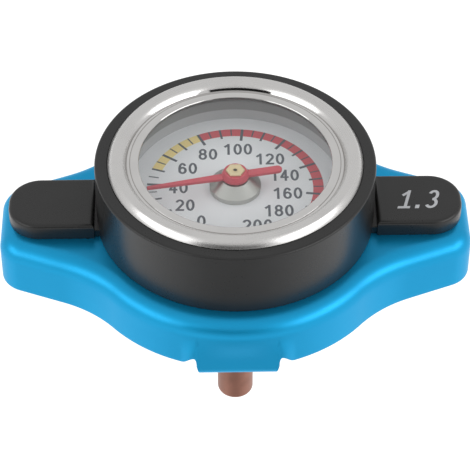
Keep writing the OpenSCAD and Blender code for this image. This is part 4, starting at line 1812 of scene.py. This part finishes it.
@dataclass
class Clamp:
    """The nut and washers that hold the gauge to the cap."""

    flats: float = 13.0
    low: float = -3.0
    top: float = -0.1
    hole: float = 5.0
    face_in: float = 0.25
    cone: float = 0.55
    cut: float = 0.05

    def nut(self) -> Shell:
        """Makes the nut: a hexagon whose corners fall away in a cone at both ends.

        At angle a the flats lie at (flats / 2) / cos(a from the middle of a flat), and the end faces drop
        by a share of what stands out past the flats.

        Returns:
            The nut.
        """
        a = whole_turn(240)
        flat = self.flats / 2
        hexed = hexagon(a, self.flats, self.flats)
        fall = (hexed - flat) * self.cone + self.cut
        rows = [
            (self.hole, self.low), (flat - self.face_in, self.low), (hexed, self.low + fall),
            (hexed, self.top - fall), (flat - self.face_in, self.top), (self.hole, self.top),
        ]
        return wrapped(np.concatenate([around(r + 0.0 * a, a, z) for r, z in rows], axis=1))

    def build(self) -> list[Obj]:
        """Makes the nut and dresses the washers.

        Returns:
            The nut and the washers.
        """
        return [
            make_piece("hexagon_nut", self.nut(), Finishes.BRASS, "clamp_nut", sharp=25.0),
            dress_node("lock_washer", Finishes.STAMPED),
            dress_node("sealing_washer", Finishes.RUBBER),
        ]


@dataclass
class NeckSeal:
    """The sprung disc and the rubber ring that seal the neck's rim."""

    hole: float = 5.1
    crown_r: float = 13.4
    gasket_in: float = 15.4
    gasket_r: float = 20.4
    gasket_t: float = 1.2
    gasket_edges: Sizes = (0.25, *[0.06] * 6, 0.25, 0.1, 0.1)
    groove_in: float = 1.2
    groove_half: float = 0.3
    groove_deep: float = 0.18
    sheet: float = 0.4
    crown: float = 2.6
    disc_edges: Sizes = (0.05, 0.5, 0.5, 0.12, 0.12, 0.5, 0.5, 0.05)

    def build(self) -> list[Obj]:
        """Turns the disc with its soft bends, and the ring with rounded rims and two shallow grooves.

        Returns:
            The disc and the ring.
        """
        low, rim = self.crown - self.sheet, self.gasket_t + self.sheet
        r0, r1 = self.gasket_in, self.gasket_r
        disc = [
            (self.hole, low), (self.crown_r, low), (r0, self.gasket_t), (r1, self.gasket_t),
            (r1, rim), (r0, rim), (self.crown_r, self.crown), (self.hole, self.crown),
        ]
        near, half, far = self.groove_in, self.groove_half, self.groove_in + 2 * self.groove_half
        ring = [
            (r0, 0), (r0 + near, 0), (r0 + near + half, self.groove_deep), (r0 + far, 0),
            (r1 - far, 0), (r1 - near - half, self.groove_deep), (r1 - near, 0), (r1, 0),
            (r1, self.gasket_t), (r0, self.gasket_t),
        ]
        disc = turned(disc, self.disc_edges, segments=160)
        ring = turned(ring, self.gasket_edges, segments=160)
        return [
            make_piece("sprung_disc", disc, Finishes.STAMPED, "diaphragm_spring"),
            make_piece("rim_gasket", ring, Finishes.RUBBER, "neck_gasket"),
        ]


@dataclass
class PressureValve:
    """The bell with its windows, the main spring, the seal and the sliding sleeve."""

    hole: float = 5.1
    bell_r: float = 12.8
    bell_top: float = 2.2
    bell_low: float = -11.2
    wall: float = 0.8
    bend: float = 1.2
    bend_lead: float = 0.3
    lip_in: float = 10.4
    window_half: float = 3.5
    window_low: float = -8.0
    window_top: float = -0.2
    spring_r: float = 9.6
    wire: float = 1.8
    spring_low: float = -9.6
    spring_top: float = 1.4
    spring_turns: float = 3.5
    lift: float = 3.0
    cup_low: float = -15.6
    seal_low: float = -17.8
    seal_r: float = 13.6
    seal_edges: Sizes = (0.1, 0.12, 0.45, 0.5, 0.15, 0.1)
    step_r: float = 9.8
    step_z: float = -16.8
    step_draft: float = 0.15
    seat_in: float = 7.4
    sleeve_in: float = 3.08
    sleeve_r: float = 3.98
    sleeve_low: float = -23.4
    sleeve_edges: Sizes = (0.1, 0.28, 0.2, 0.03, 0.05, 0.15, 0.15, 0.1, 0.05, 0.1)
    foot_r: float = 4.88
    retainer_low: float = -22.8
    plate_top: float = -9.6
    gland_r: float = 5.32
    gland_in: float = 4.52
    gland_top: float = -7.6
    gland_floor: float = -9.2

    def bell(self) -> Shell:
        """Makes the stamped bell: a profile turned about the axis, with faces left out at its windows.

        Returns:
            The bell.
        """
        b, r = self.bend, self.bell_r
        edge, middle = math.asin(self.window_half / r), math.pi / 4
        marks = [0, middle - edge, middle + edge, QUARTER]
        spans = [np.linspace(*ends, n, endpoint=False) for *ends, n in zip(marks, marks[1:], (12, 14, 12))]
        quarter = np.concatenate(spans)
        a = (quarter + np.arange(4)[:, None] * QUARTER).reshape(-1)
        window = np.tile(np.abs(quarter - (middle - TINY)) < edge, 4)
        t = np.linspace(0, QUARTER, 7)
        levels = np.concatenate([
            [(self.bell_top - b + self.window_top) / 2],
            np.linspace(self.window_top, self.window_low, 7),
            [(self.window_low + self.bell_low + b) / 2],
        ])
        skins = []
        for inset in (0.0, self.wall):
            k, top, low = b - inset, self.bell_top - inset, self.bell_low + inset
            profile = np.concatenate([
                [(self.hole, top), (r - b - self.bend_lead, top)],
                [r - b, self.bell_top - b] + k * rays(QUARTER - t),
                np.stack([np.full(len(levels), r - inset), levels], axis=-1),
                [r - b, self.bell_low + b] + k * rays(-t),
                [(self.lip_in, low)],
            ])
            skins.append(around(profile[None, :, 0], a[:, None], profile[None, :, 1]))
        z = skins[0][0, :, 2]
        open_row = (z[:-1] <= self.window_top + TINY) & (z[1:] >= self.window_low - TINY)
        return thick_sheet(*skins, ~(window[:, None] & open_row))

    def build(self) -> list[Obj]:
        """Makes the bell, the spring, the seal and the sleeve, and dresses the hidden plates.

        Returns:
            The four pieces and the dressed plates.
        """
        low, top = self.spring_low, self.spring_top
        wound = spring(self.spring_r, low, top, self.spring_turns, self.wire, sides=20)
        wound = make_piece("main_spring", wound, Finishes.WIRE, "pressure_spring")
        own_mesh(wound)
        seal = stepped(self.seat_in, self.step_z, self.step_r, self.seal_low, self.seal_r, self.cup_low)
        seal[2, 0] += self.step_draft
        seal = turned(seal, self.seal_edges, segments=160, steps=6)
        foot = (self.sleeve_in, self.sleeve_low, self.foot_r, self.retainer_low)
        gland = (self.gland_r, self.gland_top, self.gland_in, self.gland_floor)
        sleeve = stepped(*foot, self.sleeve_r, self.plate_top, *gland)
        sleeve = turned(sleeve, self.sleeve_edges, segments=112)
        bell = self.bell()
        return [
            make_piece("bell_stamping", bell, Finishes.STAMPED, "valve_bell", sharp=45.0),
            wound,
            make_piece("seat_seal", seal, Finishes.RUBBER, "pressure_seal", Body.PRESSURE),
            make_piece("sleeve_turning", sleeve, Finishes.BRASS, "valve_sleeve", Body.PRESSURE),
            dress_node("pressure_plate", Finishes.STAMPED),
            dress_node("seal_cup", Finishes.PLATED),
            dress_node("stem_seal", Finishes.RUBBER),
            dress_node("gland_washer", Finishes.PLAIN),
        ]


@dataclass
class VacuumValve:
    """The brass return disc, its light spring and the washer under it."""

    hole: float = 4.08
    collar_r: float = 4.68
    disc_r: float = 9.4
    disc_edges: Sizes = (0.08, 0.15, 0.25, *[0.08] * 4, 0.2, 0.1, 0.05)
    low: float = -17.6
    top: float = -16.8
    collar_low: float = -18.8
    ring: Sizes = (7.0, 7.2, 7.9, 8.1)
    ring_high: float = 0.15
    spring_r: float = 5.7
    wire: float = 0.5
    turns: float = 3.5
    drop: float = 1.5
    retainer_r: float = 6.38
    retainer_in: float = 3.98
    retainer_top: float = -22.2
    retainer_low: float = -22.8
    retainer_edges: Sizes = (0.1, 0.2, 0.15, 0.1)

    def build(self) -> list[Obj]:
        """Makes the disc with a pressed ring, the spring, and the washer.

        Returns:
            The disc, the spring and the washer.
        """
        rise = (0.0, self.ring_high, self.ring_high, 0.0)
        disc = [
            (self.hole, self.collar_low), (self.collar_r, self.collar_low), (self.collar_r, self.low),
            *[(r, self.low + h) for r, h in zip(self.ring, rise)],
            (self.disc_r, self.low), (self.disc_r, self.top), (self.hole, self.top),
        ]
        low, top, body = self.retainer_top, self.low, Body.PRESSURE
        wound = spring(self.spring_r, low, top, self.turns, self.wire, sides=12)
        wound = make_piece("return_spring", wound, Finishes.WIRE, "vacuum_spring", body)
        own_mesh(wound)
        disc = turned(disc, self.disc_edges)
        washer = stepped(self.retainer_in, self.retainer_low, self.retainer_r, self.retainer_top)
        washer = turned(washer, self.retainer_edges, segments=112)
        return [
            make_piece("return_disc", disc, Finishes.BRASS, "vacuum_disc", Body.VACUUM),
            wound,
            make_piece("spring_washer", washer, Finishes.PLATED, "spring_retainer", body),
        ]


# Stage


@dataclass(frozen=True)
class Softbox:
    """A soft light that looks at the part."""

    name: str
    at: Triple
    wide: float
    high: float
    power: float

    def build(self) -> Obj:
        """Makes the light and turns it to the part.

        Returns:
            The light.
        """
        lamp = bpy.data.lights.new(self.name, "AREA")
        lamp.shape, lamp.size, lamp.size_y, lamp.energy = "RECTANGLE", self.wide, self.high, self.power
        obj = put_in_scene(self.name, lamp)
        obj.location = self.at
        obj.rotation_euler = (-Vector(self.at)).to_track_quat("-Z", "Y").to_euler()
        return obj


@dataclass(frozen=True)
class Flag:
    """A black card out of the camera's sight, which gives the bright metal something dark to show."""

    name: str
    at: Triple
    wide: float
    high: float

    def build(self) -> Obj:
        """Makes the card as a stage grid square to its line to the part, and hides it from the camera.

        Returns:
            The card.
        """
        toward = unit(-np.array(self.at))
        side = unit(np.cross(toward, [0.0, 0.0, 1.0]))
        s = np.linspace(-0.5, 0.5, 5)
        across, up = s[:, None, None] * self.wide * side, s[:, None] * self.high * np.cross(side, toward)
        obj = make_stage(self.name, np.array(self.at) + across + up, Finishes.CARD)
        obj.visible_camera = False
        return obj


@dataclass
class Studio:
    """The pale floor, the soft lights, the black card and the camera, in metres."""

    floor_z: float = -0.8
    floor_half: float = 6.0
    sky: float = 0.79
    left: Softbox = Softbox("box_left", (-0.79, -0.42, 0.43), 0.90, 0.44, 2.2)
    right: Softbox = Softbox("box_right", (0.79, -0.42, 0.43), 0.90, 0.44, 3.0)
    card: Flag = Flag("flag_front", (-0.06, -0.58, 0.222), 0.66, 0.24)
    frame_px: float = 470.0
    focal_px: float = 2200.0
    film: float = 36.0
    clip: Pair = (0.01, 50.0)
    distance: float = 0.3506
    azimuth: float = -1.0
    elevation: float = 43.3
    aim: Triple = (0.0, 0.0, 0.0038)
    aim_px: Pair = (235.3, 212.6)

    def floor(self) -> Obj:
        """Lays the floor as a level grid.

        Returns:
            The floor.
        """
        s = np.linspace(-self.floor_half, self.floor_half, 9)
        grid = np.stack(np.broadcast_arrays(s[:, None], s[None], self.floor_z), axis=-1)
        return make_stage("floor", grid, Finishes.FLOOR)

    def shine(self) -> None:
        """Sets an even white sky."""
        scene = bpy.context.scene
        scene.world = bpy.data.worlds.new("studio")
        scene.world.use_nodes = True
        sky = scene.world.node_tree.nodes["Background"]
        sky.inputs["Color"].default_value = (1.0, 1.0, 1.0, 1.0)
        sky.inputs["Strength"].default_value = self.sky
        scene.view_settings.view_transform = "Standard"

    def camera(self) -> Obj:
        """Sets the camera where the photograph was taken from.

        It stands off the axis point at the shell's top face by the distance, azimuth and elevation. Its
        view is then turned by the small angles that bring that point to its place in the picture.

        Returns:
            The camera.
        """
        lens = bpy.data.cameras.new("camera")
        lens.sensor_width, lens.lens = self.film, self.film * self.focal_px / self.frame_px
        lens.clip_start, lens.clip_end = self.clip
        a, e = math.radians(self.azimuth), math.radians(self.elevation)
        back = Vector((math.sin(a) * math.cos(e), -math.cos(a) * math.cos(e), math.sin(e)))
        look = (-back).to_track_quat("-Z", "Y").to_matrix()
        right = (self.aim_px[0] - self.frame_px / 2) / self.focal_px
        up = (self.frame_px / 2 - self.aim_px[1]) / self.focal_px
        tilt = Matrix.Rotation(math.atan(right), 3, "Y") @ Matrix.Rotation(-math.atan(up), 3, "X")
        obj = put_in_scene("camera", lens)
        obj.location = Vector(self.aim) + back * self.distance
        obj.rotation_euler = (look @ tilt).to_euler()
        bpy.context.scene.camera = obj
        return obj

    def build(self) -> list[Obj]:
        """Makes the floor, the lights and the camera."""
        self.shine()
        return [self.floor(), self.left.build(), self.right.build(), self.card.build(), self.camera()]


def main() -> None:
    """Builds each sub-assembly in order and reports its pieces."""
    logging.basicConfig(level=logging.INFO, format="%(name)s: %(message)s")
    kinds = (
        Studio, CapShell, GaugeHousing, Bezel, Dial, Needle, Stem, Clamp, NeckSeal, PressureValve,
        VacuumValve,
    )
    for kind in kinds:
        for obj in kind().build():
            faces = len(obj.data.polygons) if obj.type == "MESH" else 0
            LOG.info("%s: %s, %d faces", kind.__name__, obj.name, faces)


if __name__ == "__main__":
    main()
